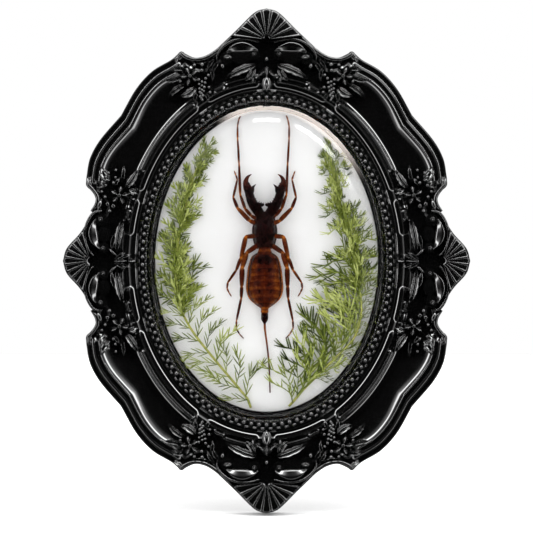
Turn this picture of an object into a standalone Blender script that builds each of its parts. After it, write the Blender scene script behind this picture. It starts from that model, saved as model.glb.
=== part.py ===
"""Whip scorpion with two fern sprigs on a white panel, under a clear dome in an oval baroque frame.

Metres, +Z up. The frame hangs upright: its flat back lies in the plane Y = 0, its front faces -Y,
and the origin is the centre of the back. Depths are given as heights towards the front.
"""

import math

import bmesh
import bpy
from mathutils import Vector

MM = 0.001
GAP = 0.3

# The frame's outline in its upper right quarter, as stretches that meet in corners.
# Each stretch is a smooth curve through its points, from the top's middle to the side's middle.
TOP_FAN = [(0, 105.1), (5, 103.4), (12.8, 95.9), (20.5, 88.6)]
UPPER_HOLLOW = [(20.5, 88.6), (25.5, 85.2), (30, 84.7), (35.6, 87.3)]
UPPER_LOBE = [(35.6, 87.3), (39, 84.3), (47.8, 79), (54.5, 71.6), (60.7, 60.7)]
LOWER_LOBE = [(60.7, 60.7), (69.3, 50.7), (73.6, 43), (75, 36), (75, 31.4)]
SIDE_HOLLOW = [(75, 31.4), (72.2, 28), (71.2, 25), (71.8, 21.3)]
SIDE_FAN = [(71.8, 21.3), (77.5, 12), (83.2, 5.4), (84.9, 0)]
FAN_RIBS = 9
HOLLOW_STEPS = 3
LOBE_STEPS = 4

TOP_HUB = (0, 91.0)
SIDE_HUB = (72.4, 0)
HUB_RADIUS = 2.6

# The outer moulding, as (distance in from the outline, height).
FRONT_EDGE = (0.5, 8.5)
OUTER_MOULDING = [(1.2, 11.0), (2.3, 10.0), (4.2, 12.4), (5.3, 11.4), (6.8, 13.4)]
RIB_HEIGHTS = [12.0, 13.2, 14.2, 15.0, 15.0]
GROOVE_HEIGHTS = [11.0, 11.4, 12.2, 13.4, 15.0]
FAN_RISE_SHARE = [0.12, 0.3, 0.52, 0.78, 1.0]

COVE_HEIGHT = 10.8
SCROLL_GROUND = 13.0

# The bead course is an oval with these half sizes, and the mouldings beside it are its offsets.
BEAD_OVAL = (51.2, 67.6)
BEAD_COUNT = 118
INNER_MOULDING = [(9.8, 14.6), (8.2, 13.4), (6.6, 14.8), (3.4, 12.6)]
BEAD_OUTSIDE = (1.15, 12.8)
BEAD_CREST = (0.0, 14.0)
BEAD_GAP_HEIGHT = 12.9
BEAD_INSIDE = (-1.15, 12.4)
LEDGE_WALL = -1.6
LEDGE_HEIGHT = 7.5
LEDGE_INNER = -5.0
LIP_BACK = 5.6
REBATE = -0.8
OVAL_STEPS = 64

BOARD_OVAL = (BEAD_OVAL[0] + REBATE - GAP, BEAD_OVAL[1] + REBATE - GAP)
BOARD_THICKNESS = 2.5
PANEL_BACK = BOARD_THICKNESS + GAP
PANEL_FRONT = LIP_BACK - GAP

DOME_OUTER = (BEAD_OVAL[0] + LEDGE_WALL - GAP, BEAD_OVAL[1] + LEDGE_WALL - GAP)
DOME_WALL = 1.6
DOME_FOOT = LEDGE_HEIGHT + GAP
DOME_CROWN = 24.0
DOME_SQUARENESS = 2.5
DOME_STEPS = 32
DOME_LEVELS = 5

KEYHOLE_Z = 79.0
KEYHOLE_HEAD = 4.2
KEYHOLE_SLOT = 2.2
KEYHOLE_LENGTH = 8.0
KEYHOLE_DEPTH = 5.0
KEYHOLE_LIP = 2.0
CUT_STEP = 0.2

# Ornaments of the upper right quarter, each mirrored into the other three. Their feet are sunk in the casting.
RELIEF_FOOT = 6.6
LEAF_TOP = 14.8
FLOWER_TOP = 15.0
PETAL_WAIST = 0.62
BERRY_TOP = 14.8
BUD_TOP = 15.4
BAND_FOOT = 6.0
BAND_TOP = 15.2
BAND_STEPS = 3
BAND_HALF_WIDTH = 1.3
# Volutes are (x, z, radius, height), leaves are (x and z of each end, half width), and the rest (x, z, radius).
VOLUTES = [(5.0, 85.2, 2.6, 15.6), (16.0, 83.4, 3.2, 15.8), (68.6, 17.1, 3.0, 15.8), (67.4, 4.4, 2.2, 15.6)]
SCROLL_ARCHES = [
    [(3.0, 88.6), (6.8, 91.6), (11.8, 92.0), (16.0, 88.6)],
    [(71.6, 3.0), (71.6, 7.8), (69.9, 12.6)],
]
LEAVES = [
    (16.6, 75.8, 4.6, 80.4, 2.0),
    (59.4, 16.0, 61.8, 3.9, 1.9),
    (57.8, 30.5, 53.6, 37.0, 1.7),
    (63.8, 34.4, 66.6, 39.0, 2.4),
    (23.6, 75.6, 21.6, 81.2, 1.5),
]
FLOWERS = [(60.7, 27.0, 3.3), (31.6, 74.6, 3.0)]
BERRIES = [(54.9, 28.8, 1.6), (66.2, 23.4, 1.6), (26.2, 71.4, 1.8), (36.6, 77.4, 1.6)]
# The buds on the two axes, as (end nearer the fan, end nearer the opening, half width).
TOP_BUD = (83.0, 71.6, 2.3)
SIDE_BUD = (62.0, 54.6, 2.0)

# The specimen. Its long axis lies at this X, and every part keeps clear of the panel.
BODY_X = -0.8
SPECIMEN_FLOOR = PANEL_FRONT + GAP
CARAPACE = [
    (20.6, 3.6, 8.6, 2.0),
    (19.4, 4.4, 8.8, 2.6),
    (16.8, 4.9, 9.2, 3.2),
    (12.9, 5.3, 9.4, 3.5),
    (8.4, 4.7, 9.2, 3.3),
    (4.9, 3.6, 8.8, 2.6),
]
ABDOMEN = [
    (5.2, 2.4, 8.6, 2.2),
    (3.4, 3.4, 8.7, 2.6),
    (1.1, 5.6, 8.9, 3.0),
    (-2.6, 6.9, 9.0, 3.2),
    (-6.6, 7.5, 9.1, 3.3),
    (-11.4, 7.7, 9.1, 3.3),
    (-15.2, 6.7, 9.0, 3.1),
    (-18.0, 4.3, 8.8, 2.6),
    (-19.8, 2.0, 8.6, 1.9),
]
BODY_SIDES = 8
# Limbs of the left side, as (x, z, height, radius) from the body outwards. The right side mirrors them.
FEELER = [
    (-4.4, 17.6, 8.4, 0.8), (-8.1, 21.6, 8.8, 0.8), (-10.0, 27.2, 8.6, 0.6), (-10.6, 41.0, 7.6, 0.5),
    (-11.2, 50.4, 7.0, 0.42), (-11.4, 56.0, 6.6, 0.36), (-10.0, 60.2, 6.4, 0.3),
]
LEG_2 = [
    (-3.8, 15.8, 8.4, 1.0), (-9.0, 19.2, 9.6, 1.15), (-12.0, 22.4, 10.2, 1.1), (-13.6, 26.8, 9.2, 0.75),
    (-12.4, 33.6, 7.4, 0.6), (-12.9, 37.2, 6.4, 0.35),
]
LEG_3 = [
    (-4.2, 10.2, 8.4, 1.0), (-8.2, 9.8, 10.0, 1.1), (-10.6, 2.0, 10.4, 1.15), (-12.4, -4.6, 9.4, 0.75),
    (-15.8, -9.8, 7.6, 0.6), (-14.6, -14.6, 6.3, 0.35),
]
LEG_4 = [
    (-3.2, 6.4, 8.4, 1.0), (-7.4, 3.6, 9.6, 1.1), (-9.6, -2.6, 10.4, 1.2), (-9.8, -11.6, 9.0, 0.85),
    (-11.0, -19.6, 7.6, 0.65), (-12.2, -27.2, 6.8, 0.5), (-9.2, -32.2, 6.2, 0.3),
]
PINCER_ARM = [(-1.6, 19.6, 9.0, 2.2), (-4.2, 22.6, 9.2, 2.5), (-6.6, 26.4, 9.2, 2.0), (-8.2, 30.4, 9.0, 1.6)]
PINCER_FINGER = [(-7.6, 29.6, 9.0, 1.5), (-8.8, 32.6, 8.9, 1.0), (-6.2, 35.6, 8.7, 0.35)]
PINCER_THUMB = [(-5.8, 27.4, 9.2, 1.2), (-4.6, 29.6, 9.1, 0.8), (-4.2, 31.6, 9.0, 0.3)]
WHIP = [
    (-0.8, -18.8, 8.4, 1.7), (-0.8, -21.6, 8.2, 1.6), (-0.8, -24.6, 8.0, 1.2), (-0.8, -27.0, 7.6, 0.55),
    (-0.3, -38.0, 7.0, 0.45), (0.9, -44.8, 6.8, 0.42), (1.5, -54.6, 6.4, 0.35),
]
LIMB_SIDES = 4

# The sprigs, as (x, z, half width, half depth) from the cut end to the tip.
FERN_LEFT = [
    (-6.5, -60.9, 0.6, 0.5), (-8.4, -57.2, 1.0, 0.8), (-12.6, -51.4, 2.6, 1.5), (-17.6, -45.6, 3.2, 2.0),
    (-23.9, -37.9, 4.6, 2.4), (-29.3, -31.1, 5.0, 2.7), (-33.6, -24.8, 6.2, 2.9), (-36.4, -18.5, 6.0, 3.0),
    (-38.2, -9.0, 5.2, 3.1), (-39.4, 0.0, 4.6, 3.1), (-40.2, 6.2, 4.6, 3.1), (-38.2, 16.0, 5.2, 3.0),
    (-34.0, 27.0, 5.4, 2.8), (-29.4, 39.0, 4.6, 2.4), (-26.0, 46.8, 3.4, 1.9), (-23.6, 51.0, 0.9, 0.8),
]
FERN_RIGHT = [
    (9.2, -60.3, 0.6, 0.5), (12.4, -57.0, 1.8, 1.0), (18.0, -50.6, 4.6, 1.8), (24.2, -44.0, 5.2, 2.2),
    (30.2, -38.0, 5.6, 2.6), (35.2, -31.4, 5.4, 2.8), (38.4, -22.4, 4.2, 3.0), (39.4, -14.2, 3.6, 3.0),
    (39.0, -4.0, 4.2, 3.1), (37.4, 5.6, 5.4, 3.1), (33.6, 15.0, 6.4, 3.0), (30.6, 25.0, 6.2, 2.8),
    (28.4, 35.0, 5.4, 2.4), (27.2, 43.0, 4.0, 1.9), (27.0, 47.2, 0.9, 0.8),
]
FERN_SIDES = 6


def material(name, colour, roughness, metallic=0.0, transmission=0.0):
    made = bpy.data.materials.new(name)
    made.use_nodes = True
    shader = made.node_tree.nodes["Principled BSDF"]
    shader.inputs["Base Color"].default_value = (*colour, 1.0)
    shader.inputs["Roughness"].default_value = roughness
    shader.inputs["Metallic"].default_value = metallic
    shader.inputs["Transmission Weight"].default_value = transmission
    return made


def place(x, z, height):
    """A point in metres from millimetres: across, up, and towards the front."""
    return Vector((x * MM, -height * MM, z * MM))


def finish(name, bm, look, helper=False):
    """Turns a bmesh into a named object with outward normals and smooth shading."""
    bmesh.ops.recalc_face_normals(bm, faces=bm.faces)
    mesh = bpy.data.meshes.new(name)
    bm.to_mesh(mesh)
    bm.free()
    mesh.shade_smooth()
    mesh.set_sharp_from_angle(angle=math.radians(35))
    mesh.materials.append(look)
    made = bpy.data.objects.new(name, mesh)
    bpy.context.scene.collection.objects.link(made)
    if helper:
        made.hide_render = True
        made.display_type = "WIRE"
    return made


def combine(target, other, operation):
    """Joins a helper to an object, or cuts the object with it."""
    change = target.modifiers.new(f"{operation.lower()} {other.name}", "BOOLEAN")
    change.operation = operation
    change.solver = "EXACT"
    change.object = other


def smooth_curve(points, steps):
    """Points along a Catmull-Rom curve through the given points, the last one left out."""
    ends = [_beyond(points[1], points[0])] + list(points) + [_beyond(points[-2], points[-1])]
    found = []
    for step in range(steps):
        at = step / steps * (len(points) - 1)
        first = int(at)
        t = at - first
        a, b, c, d = (Vector(p) for p in ends[first:first + 4])
        bend = (2 * a - 5 * b + 4 * c - d) * t ** 2
        twist = (3 * b - a - 3 * c + d) * t ** 3
        found.append(0.5 * (2 * b + (c - a) * t + bend + twist))
    return found


def _beyond(inner, end):
    return tuple(2 * e - i for i, e in zip(inner, end))


def quarter_outline():
    """(point, fan hub or None, is a rib) down the upper right quarter, without the side's middle.

    Half a fan has as many steps as the whole one has ribs, because ribs and grooves take turns.
    """
    stretches = [
        (TOP_FAN, FAN_RIBS, TOP_HUB),
        (UPPER_HOLLOW, HOLLOW_STEPS, None),
        (UPPER_LOBE, LOBE_STEPS, None),
        (LOWER_LOBE, LOBE_STEPS, None),
        (SIDE_HOLLOW, HOLLOW_STEPS, None),
        (SIDE_FAN, FAN_RIBS, SIDE_HUB),
    ]
    found = []
    for points, steps, hub in stretches:
        for index, point in enumerate(smooth_curve(points, steps)):
            at_corner = hub == SIDE_HUB and index == 0
            on_rib = index % 2 == (steps % 2 if hub == SIDE_HUB else 0)
            found.append((point, None if at_corner else hub, on_rib))
    return found


def frame_outline():
    """The whole outline, clockwise from the top's middle, as (point, hub, is a rib)."""
    down = quarter_outline()
    side = [(Vector((SIDE_FAN[-1][0], 0)), SIDE_HUB, True)]
    half = down + side + [_mirrored(s, 1, -1) for s in reversed(down)]
    other = [_mirrored(s, -1, 1) for s in reversed(half[1:-1])]
    return half + other


def _mirrored(sample, sign_x, sign_z):
    point, hub, on_rib = sample
    moved = Vector((point.x * sign_x, point.y * sign_z))
    return moved, None if hub is None else (hub[0] * sign_x, hub[1] * sign_z), on_rib


def oval_angle(point):
    """How far round the bead oval a point lies, clockwise from the top, from 0 to 2 pi."""
    return math.atan2(point.x / BEAD_OVAL[0], point.y / BEAD_OVAL[1]) % math.tau


def oval_point(angle, offset):
    return Vector(((BEAD_OVAL[0] + offset) * math.sin(angle), (BEAD_OVAL[1] + offset) * math.cos(angle)))


def ring(bm, samples):
    """A closed ring of vertices from (angle, point, height) samples, as (angle, vertex) in turn."""
    return [(angle, bm.verts.new(place(point.x, point.y, height))) for angle, point, height in samples]


def bridge(bm, first, second):
    """Joins two rings by triangles, going round both by angle, so their counts may differ."""
    i, j = 0, 0
    while i < len(first) or j < len(second):
        a, b = first[i % len(first)][1], second[j % len(second)][1]
        angle_a = first[i + 1][0] if i + 1 < len(first) else math.tau + first[(i + 1) % len(first)][0]
        angle_b = second[j + 1][0] if j + 1 < len(second) else math.tau + second[(j + 1) % len(second)][0]
        if j >= len(second) or (i < len(first) and angle_a <= angle_b):
            bm.faces.new((a, b, first[(i + 1) % len(first)][1]))
            i += 1
        else:
            bm.faces.new((a, b, second[(j + 1) % len(second)][1]))
            j += 1


def oval_samples(offset, height, count=OVAL_STEPS):
    turn = math.tau / count
    return [(index * turn, oval_point(index * turn, offset), height) for index in range(count)]


def outline_rings():
    """The rings from the frame's back edge in to the cove, each with a point for every outline sample."""
    outline = frame_outline()
    angles = [oval_angle(point) for point, _, _ in outline]
    inner = [oval_point(angle, INNER_MOULDING[0][0]) for angle in angles]
    rows = [[(a, p, 0.0) for a, (p, _, _) in zip(angles, outline)]]
    rows.append([
        (a, p + (q - p).normalized() * FRONT_EDGE[0], FRONT_EDGE[1])
        for a, (p, _, _), q in zip(angles, outline, inner)
    ])
    for step, (distance, height) in enumerate(OUTER_MOULDING):
        row = []
        for angle, (point, hub, on_rib), target in zip(angles, outline, inner):
            if hub is None:
                row.append((angle, point + (target - point).normalized() * distance, height))
                continue
            middle = Vector(hub)
            stop = middle + (point - middle).normalized() * HUB_RADIUS
            tall = RIB_HEIGHTS if on_rib else GROOVE_HEIGHTS
            row.append((angle, point.lerp(stop, FAN_RISE_SHARE[step]), tall[step]))
        rows.append(row)
    ground = []
    for (angle, edge, _), (_, hub, _), target in zip(rows[-1], outline, inner):
        ground.append((angle, edge.lerp(target, 0.5), COVE_HEIGHT if hub is None else SCROLL_GROUND))
    rows.append(ground)
    return rows


def bead_ring_samples():
    """Crests and the gaps between them, in turn, round the bead oval."""
    turn = math.tau / (2 * BEAD_COUNT)
    heights = (BEAD_CREST[1], BEAD_GAP_HEIGHT)
    return [(i * turn, oval_point(i * turn, BEAD_CREST[0]), heights[i % 2]) for i in range(2 * BEAD_COUNT)]


def frame_casting(look):
    """The casting without its scrolls, leaves and flowers: rings of points from the back edge round to it."""
    bm = bmesh.new()
    rings = [ring(bm, samples) for samples in outline_rings()]
    rings += [ring(bm, oval_samples(offset, height)) for offset, height in INNER_MOULDING]
    rings.append(ring(bm, oval_samples(*BEAD_OUTSIDE, BEAD_COUNT)))
    rings.append(ring(bm, bead_ring_samples()))
    rings.append(ring(bm, oval_samples(*BEAD_INSIDE, BEAD_COUNT)))
    for offset, height in (
        (LEDGE_WALL, LEDGE_HEIGHT),
        (LEDGE_INNER, LEDGE_HEIGHT),
        (LEDGE_INNER, LIP_BACK),
        (REBATE, LIP_BACK),
        (REBATE, 0.0),
    ):
        rings.append(ring(bm, oval_samples(offset, height)))
    for first, second in zip(rings, rings[1:] + rings[:1]):
        bridge(bm, first, second)
    return finish("frame", bm, look)


def relief(bm, outline, top, top_share=0.55):
    """A raised ornament: an outline sunk in the casting, drawn in to a smaller one on top."""
    middle = sum(outline, Vector((0, 0))) / len(outline)
    foot = [bm.verts.new(place(p.x, p.y, RELIEF_FOOT)) for p in outline]
    head = [bm.verts.new(place(*middle.lerp(p, top_share), top)) for p in outline]
    bm.faces.new(foot)
    bm.faces.new(head)
    for index in range(len(outline)):
        after = (index + 1) % len(outline)
        bm.faces.new((foot[index], foot[after], head[after], head[index]))


def round_outline(x, z, radius, count, waist=1.0):
    """A circle, or a star of petals when every other point is drawn in to the waist."""
    found = []
    for index in range(count):
        reach = radius * (waist if index % 2 else 1.0)
        angle = math.tau * (index + 0.5) / count
        found.append(Vector((x + reach * math.sin(angle), z + reach * math.cos(angle))))
    return found


def leaf_outline(start, end, half_width):
    """A pointed leaf between two points."""
    along = end - start
    across = Vector((-along.y, along.x)).normalized() * half_width
    return [start, start + along * 0.3 + across, start + along * 0.7 + across * 0.8, end,
            start + along * 0.7 - across * 0.8, start + along * 0.3 - across]


def bud_outline(start, end, half_width):
    """A blunt bud lying along an axis, as (along, across) points."""
    near, far = start + (end - start) * 0.3, start + (end - start) * 0.75
    edge = [(start, 0.3), (near, 1.0), (far, 0.7), (end, 0.25)]
    return [(a, w * half_width) for a, w in edge] + [(a, -w * half_width) for a, w in reversed(edge)]


def arch_outline(points, half_width):
    """A band of even width along a smooth curve."""
    middle = smooth_curve(points, BAND_STEPS) + [Vector(points[-1])]
    left, right = [], []
    for index, point in enumerate(middle):
        along = middle[min(index + 1, len(middle) - 1)] - middle[max(index - 1, 0)]
        across = Vector((-along.y, along.x)).normalized() * half_width
        left.append(point + across)
        right.append(point - across)
    return left + right[::-1]


def quarter_ornaments():
    """(outline, height) of each ornament in the upper right quarter."""
    found = [(round_outline(x, z, radius, 8), top) for x, z, radius, top in VOLUTES]
    for x0, z0, x1, z1, half_width in LEAVES:
        found.append((leaf_outline(Vector((x0, z0)), Vector((x1, z1)), half_width), LEAF_TOP))
    found += [(round_outline(x, z, radius, 10, PETAL_WAIST), FLOWER_TOP) for x, z, radius in FLOWERS]
    found += [(round_outline(x, z, radius, 6), BERRY_TOP) for x, z, radius in BERRIES]
    return found


def frame_ornaments(look):
    """All volutes, leaves, flowers, berries and buds, as one helper to join to the casting."""
    bm = bmesh.new()
    for outline, top in quarter_ornaments():
        for sign_x in (1, -1):
            for sign_z in (1, -1):
                relief(bm, [Vector((p.x * sign_x, p.y * sign_z)) for p in outline], top)
    for sign in (1, -1):
        relief(bm, [Vector((across, along * sign)) for along, across in bud_outline(*TOP_BUD)], BUD_TOP)
        relief(bm, [Vector((along * sign, across)) for along, across in bud_outline(*SIDE_BUD)], BUD_TOP)
    return finish("ornaments", bm, look, helper=True)


def scroll_arches(look):
    """The raised bands that curl from volute to volute beside each fan."""
    bm = bmesh.new()
    for points in SCROLL_ARCHES:
        for sign_x in (1, -1):
            for sign_z in (1, -1):
                band = arch_outline([(x * sign_x, z * sign_z) for x, z in points], BAND_HALF_WIDTH)
                relief_band(bm, band, BAND_TOP)
    return finish("arches", bm, look, helper=True)


def relief_band(bm, outline, top):
    """A raised band with straight sides, for an outline too bent to be drawn in to its middle."""
    foot = [bm.verts.new(place(p.x, p.y, BAND_FOOT)) for p in outline]
    head = [bm.verts.new(place(p.x, p.y, top)) for p in outline]
    half = len(outline) // 2
    for level in (foot, head):
        for index in range(half - 1):
            bm.faces.new((level[index], level[index + 1], level[-index - 2], level[-index - 1]))
    for index in range(len(outline)):
        after = (index + 1) % len(outline)
        bm.faces.new((foot[index], foot[after], head[after], head[index]))


def prism_cutter(name, look, outline, low, high):
    """A straight cutter through an outline, from the lower height to the upper one."""
    bm = bmesh.new()
    near = [bm.verts.new(place(p.x, p.y, low)) for p in outline]
    far = [bm.verts.new(place(p.x, p.y, high)) for p in outline]
    bm.faces.new(near)
    bm.faces.new(far)
    for index in range(len(outline)):
        after = (index + 1) % len(outline)
        bm.faces.new((near[index], near[after], far[after], far[index]))
    return finish(name, bm, look, helper=True)


def slot_outline(radius, length):
    """A slot with round ends, its lower end's middle on the keyhole's centre."""
    lower = [Vector((radius * math.cos(a), KEYHOLE_Z + radius * math.sin(a)))
             for a in (math.pi + math.pi * i / 5 for i in range(6))]
    upper = [Vector((radius * math.cos(a), KEYHOLE_Z + length + radius * math.sin(a)))
             for a in (math.pi * i / 5 for i in range(6))]
    return lower + upper


def cut_keyhole(frame, look):
    """A hanging slot in the back: a round mouth and a narrow slot above it, undercut for a screw's head."""
    mouth = round_outline(0, KEYHOLE_Z, KEYHOLE_HEAD, 16)
    slot = slot_outline(KEYHOLE_SLOT, KEYHOLE_LENGTH)
    room = slot_outline(KEYHOLE_HEAD - CUT_STEP, KEYHOLE_LENGTH)
    for name, outline, low, high in (
        ("keyhole_mouth", mouth, -1.0, KEYHOLE_DEPTH),
        ("keyhole_slot", slot, -1.2, KEYHOLE_DEPTH - 2 * CUT_STEP),
        ("keyhole_room", room, KEYHOLE_LIP, KEYHOLE_DEPTH - CUT_STEP),
    ):
        combine(frame, prism_cutter(name, look, outline, low, high), "DIFFERENCE")


def oval_plate(name, half_sizes, low, high, look, count=40):
    """A flat oval board between two heights."""
    bm = bmesh.new()
    outline = [
        Vector((half_sizes[0] * math.sin(math.tau * i / count), half_sizes[1] * math.cos(math.tau * i / count)))
        for i in range(count)
    ]
    back = [bm.verts.new(place(p.x, p.y, low)) for p in outline]
    front = [bm.verts.new(place(p.x, p.y, high)) for p in outline]
    bm.faces.new(back)
    bm.faces.new(front)
    for index in range(count):
        after = (index + 1) % count
        bm.faces.new((back[index], back[after], front[after], front[index]))
    return finish(name, bm, look)


def dome_rings(bm, half_sizes, foot, crown, levels):
    """Rings up a dome that rises steeply from its foot and flattens towards its crown."""
    power = 2 / DOME_SQUARENESS
    rings = []
    for level in range(levels):
        lean = math.pi / 2 * level / levels
        reach, rise = math.cos(lean) ** power, math.sin(lean) ** power
        row = []
        for step in range(DOME_STEPS):
            angle = math.tau * step / DOME_STEPS
            x = half_sizes[0] * reach * math.sin(angle)
            z = half_sizes[1] * reach * math.cos(angle)
            row.append(bm.verts.new(place(x, z, foot + (crown - foot) * rise)))
        rings.append(row)
    return rings


def dome_glass(look):
    """The clear cover: an outer and an inner dome joined at the foot, open at the back."""
    bm = bmesh.new()
    inner_sizes = (DOME_OUTER[0] - DOME_WALL, DOME_OUTER[1] - DOME_WALL)
    outer = dome_rings(bm, DOME_OUTER, DOME_FOOT, DOME_CROWN, DOME_LEVELS)
    inner = dome_rings(bm, inner_sizes, DOME_FOOT, DOME_CROWN - DOME_WALL, DOME_LEVELS - 1)
    rings = outer[::-1] + inner
    for first, second in zip(rings, rings[1:]):
        for step in range(DOME_STEPS):
            after = (step + 1) % DOME_STEPS
            bm.faces.new((first[step], first[after], second[after], second[step]))
    for row, height in ((outer[-1], DOME_CROWN), (inner[-1], DOME_CROWN - DOME_WALL)):
        top = bm.verts.new(place(0, 0, height))
        for step in range(DOME_STEPS):
            bm.faces.new((row[step], row[(step + 1) % DOME_STEPS], top))
    return finish("dome_glass", bm, look)


def loft(bm, stations, centre_x, sides):
    """A closed body through (z, half width, middle height, half height) stations, with pointed ends."""
    rings = []
    for z, half_width, middle, half_height in stations:
        row = []
        for side in range(sides):
            angle = math.tau * side / sides
            height = max(middle + half_height * math.sin(angle), SPECIMEN_FLOOR)
            row.append(bm.verts.new(place(centre_x + half_width * math.cos(angle), z, height)))
        rings.append(row)
    close_rings(bm, rings)


def close_rings(bm, rings):
    """Joins rings of equal counts into a closed tube."""
    for first, second in zip(rings, rings[1:]):
        for side in range(len(first)):
            after = (side + 1) % len(first)
            bm.faces.new((first[side], first[after], second[after], second[side]))
    bm.faces.new(rings[0])
    bm.faces.new(rings[-1])


def limb(bm, path, sides=LIMB_SIDES):
    """A closed tapering tube through (x, z, height, radius) points."""
    points = [place(x, z, height) for x, z, height, _ in path]
    rings = []
    for index, (point, station) in enumerate(zip(points, path)):
        along = (points[min(index + 1, len(points) - 1)] - points[max(index - 1, 0)]).normalized()
        front = Vector((0, -1, 0))
        across = along.cross(front).normalized()
        up = across.cross(along)
        turns = [math.tau * side / sides for side in range(sides)]
        spokes = [across * math.cos(turn) + up * math.sin(turn) for turn in turns]
        rings.append([bm.verts.new(point + spoke * station[3] * MM) for spoke in spokes])
    close_rings(bm, rings)


def flipped(path):
    """The same limb on the body's other side."""
    return [(2 * BODY_X - x, z, height, radius) for x, z, height, radius in path]


def whip_scorpion(look):
    """The dried animal as one solid: shield, abdomen, pincers, feelers, six legs and the whip."""
    bm = bmesh.new()
    loft(bm, CARAPACE, BODY_X, BODY_SIDES)
    body = finish("whip_scorpion", bm, look)
    bm = bmesh.new()
    loft(bm, ABDOMEN, BODY_X, BODY_SIDES)
    combine(body, finish("abdomen_form", bm, look, helper=True), "UNION")
    for name, path in (
        ("feeler", FEELER), ("leg_2", LEG_2), ("leg_3", LEG_3), ("leg_4", LEG_4),
        ("pincer_arm", PINCER_ARM), ("pincer_finger", PINCER_FINGER), ("pincer_thumb", PINCER_THUMB),
    ):
        for side, route in (("left", path), ("right", flipped(path))):
            bm = bmesh.new()
            limb(bm, route)
            combine(body, finish(f"{name}_{side}_form", bm, look, helper=True), "UNION")
    bm = bmesh.new()
    limb(bm, WHIP)
    combine(body, finish("whip_form", bm, look, helper=True), "UNION")
    return body


def fern_sprig(name, stations, look):
    """The plume's outer form: a flattened body along the stem, from the cut end to the tip."""
    bm = bmesh.new()
    rings = []
    for index, (x, z, half_width, half_depth) in enumerate(stations):
        before, after = stations[max(index - 1, 0)], stations[min(index + 1, len(stations) - 1)]
        along = Vector((after[0] - before[0], after[1] - before[1])).normalized()
        across = Vector((along.y, -along.x))
        middle = SPECIMEN_FLOOR + half_depth
        row = []
        for side in range(FERN_SIDES):
            angle = math.tau * side / FERN_SIDES
            shift = across * half_width * math.cos(angle)
            row.append(bm.verts.new(place(x + shift.x, z + shift.y, middle + half_depth * math.sin(angle))))
        rings.append(row)
    close_rings(bm, rings)
    return finish(name, bm, look)


def main():
    for old in list(bpy.data.objects):
        bpy.data.objects.remove(old, do_unlink=True)
    black_resin = material("black_resin", (0.012, 0.012, 0.013), 0.28)
    frame = frame_casting(black_resin)
    combine(frame, frame_ornaments(black_resin), "UNION")
    combine(frame, scroll_arches(black_resin), "UNION")
    cut_keyhole(frame, black_resin)
    oval_plate("back_board", BOARD_OVAL, 0.0, BOARD_THICKNESS, material("black_board", (0.02, 0.02, 0.02), 0.8))
    white_card = material("white_card", (0.88, 0.89, 0.9), 0.6)
    oval_plate("white_panel", BOARD_OVAL, PANEL_BACK, PANEL_FRONT, white_card)
    dome_glass(material("clear_glass", (0.97, 0.99, 0.99), 0.02, transmission=1.0))
    whip_scorpion(material("dried_shell", (0.09, 0.018, 0.008), 0.25))
    fern_green = material("fern_green", (0.16, 0.3, 0.03), 0.6)
    fern_sprig("fern_left", FERN_LEFT, fern_green)
    fern_sprig("fern_right", FERN_RIGHT, fern_green)


main()
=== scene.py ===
# %% [markdown]
# A dried whip scorpion lies between two fern sprigs on a white oval panel, under a clear domed
# cover in a black baroque frame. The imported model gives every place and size. This script dresses
# it: the casting gets its mouldings, fans and leaves, the animal its plates and joints, and the
# ferns their needles. Sizes are in millimetres here and become metres when a mesh is made.

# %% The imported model
import math
import random

import bmesh
import bpy
import numpy as np
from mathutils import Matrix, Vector


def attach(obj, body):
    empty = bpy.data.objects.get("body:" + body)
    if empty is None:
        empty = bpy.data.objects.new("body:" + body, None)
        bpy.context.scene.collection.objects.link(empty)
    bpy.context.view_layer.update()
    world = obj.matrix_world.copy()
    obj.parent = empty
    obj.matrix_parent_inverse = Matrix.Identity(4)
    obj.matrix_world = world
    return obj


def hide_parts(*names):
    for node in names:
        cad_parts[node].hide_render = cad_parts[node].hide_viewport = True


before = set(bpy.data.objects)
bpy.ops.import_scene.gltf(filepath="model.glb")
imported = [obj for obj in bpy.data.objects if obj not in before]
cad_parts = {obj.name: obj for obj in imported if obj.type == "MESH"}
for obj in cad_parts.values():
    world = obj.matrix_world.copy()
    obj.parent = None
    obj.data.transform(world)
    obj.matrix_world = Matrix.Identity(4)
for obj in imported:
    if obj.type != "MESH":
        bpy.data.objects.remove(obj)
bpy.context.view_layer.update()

MM = 0.001


def put_in_scene(name, data):
    """An object at the origin that shows a mesh, a curve or a camera."""
    made = bpy.data.objects.new(name, data)
    bpy.context.scene.collection.objects.link(made)
    return made


print("solids:", sorted(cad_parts))

# %% [markdown]
# The picture was taken straight on with a long lens. The camera stands 0.9 m in front of the
# frame's front edge, a little below its middle, and a long focal length keeps the sides upright.

# %% Camera
VIEW_WIDTH = 221.7 * MM
VIEW_DISTANCE = 0.9
SENSOR_WIDTH = 36.0
lens = bpy.data.cameras.new("camera")
lens.sensor_width = SENSOR_WIDTH
lens.lens = SENSOR_WIDTH * VIEW_DISTANCE / VIEW_WIDTH
lens.clip_start = 0.05
camera = put_in_scene("camera", lens)
camera.location = (-0.04 * MM, -VIEW_DISTANCE - 6 * MM, -2.33 * MM)
camera.rotation_euler = (math.pi / 2, 0, 0)
bpy.context.scene.camera = camera
bpy.context.scene.view_settings.view_transform = "Standard"
print("lens", round(lens.lens, 1), "mm")

# %% [markdown]
# Every finish below is a small tree of nodes. One function adds a node, sets what it is given and
# links its inputs, so a material reads as a short list. Colours are written as they look on a
# screen, in sRGB, and one function makes them linear, because the renderer reckons in light.

# %% Helpers for node trees and colours
def linear(code):
    """An sRGB colour such as "#A03020" as linear light."""
    parts = [int(code[i:i + 2], 16) / 255 for i in (1, 3, 5)]
    return tuple(c / 12.92 if c <= 0.04045 else ((c + 0.055) / 1.055) ** 2.4 for c in parts) + (1.0,)


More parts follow.
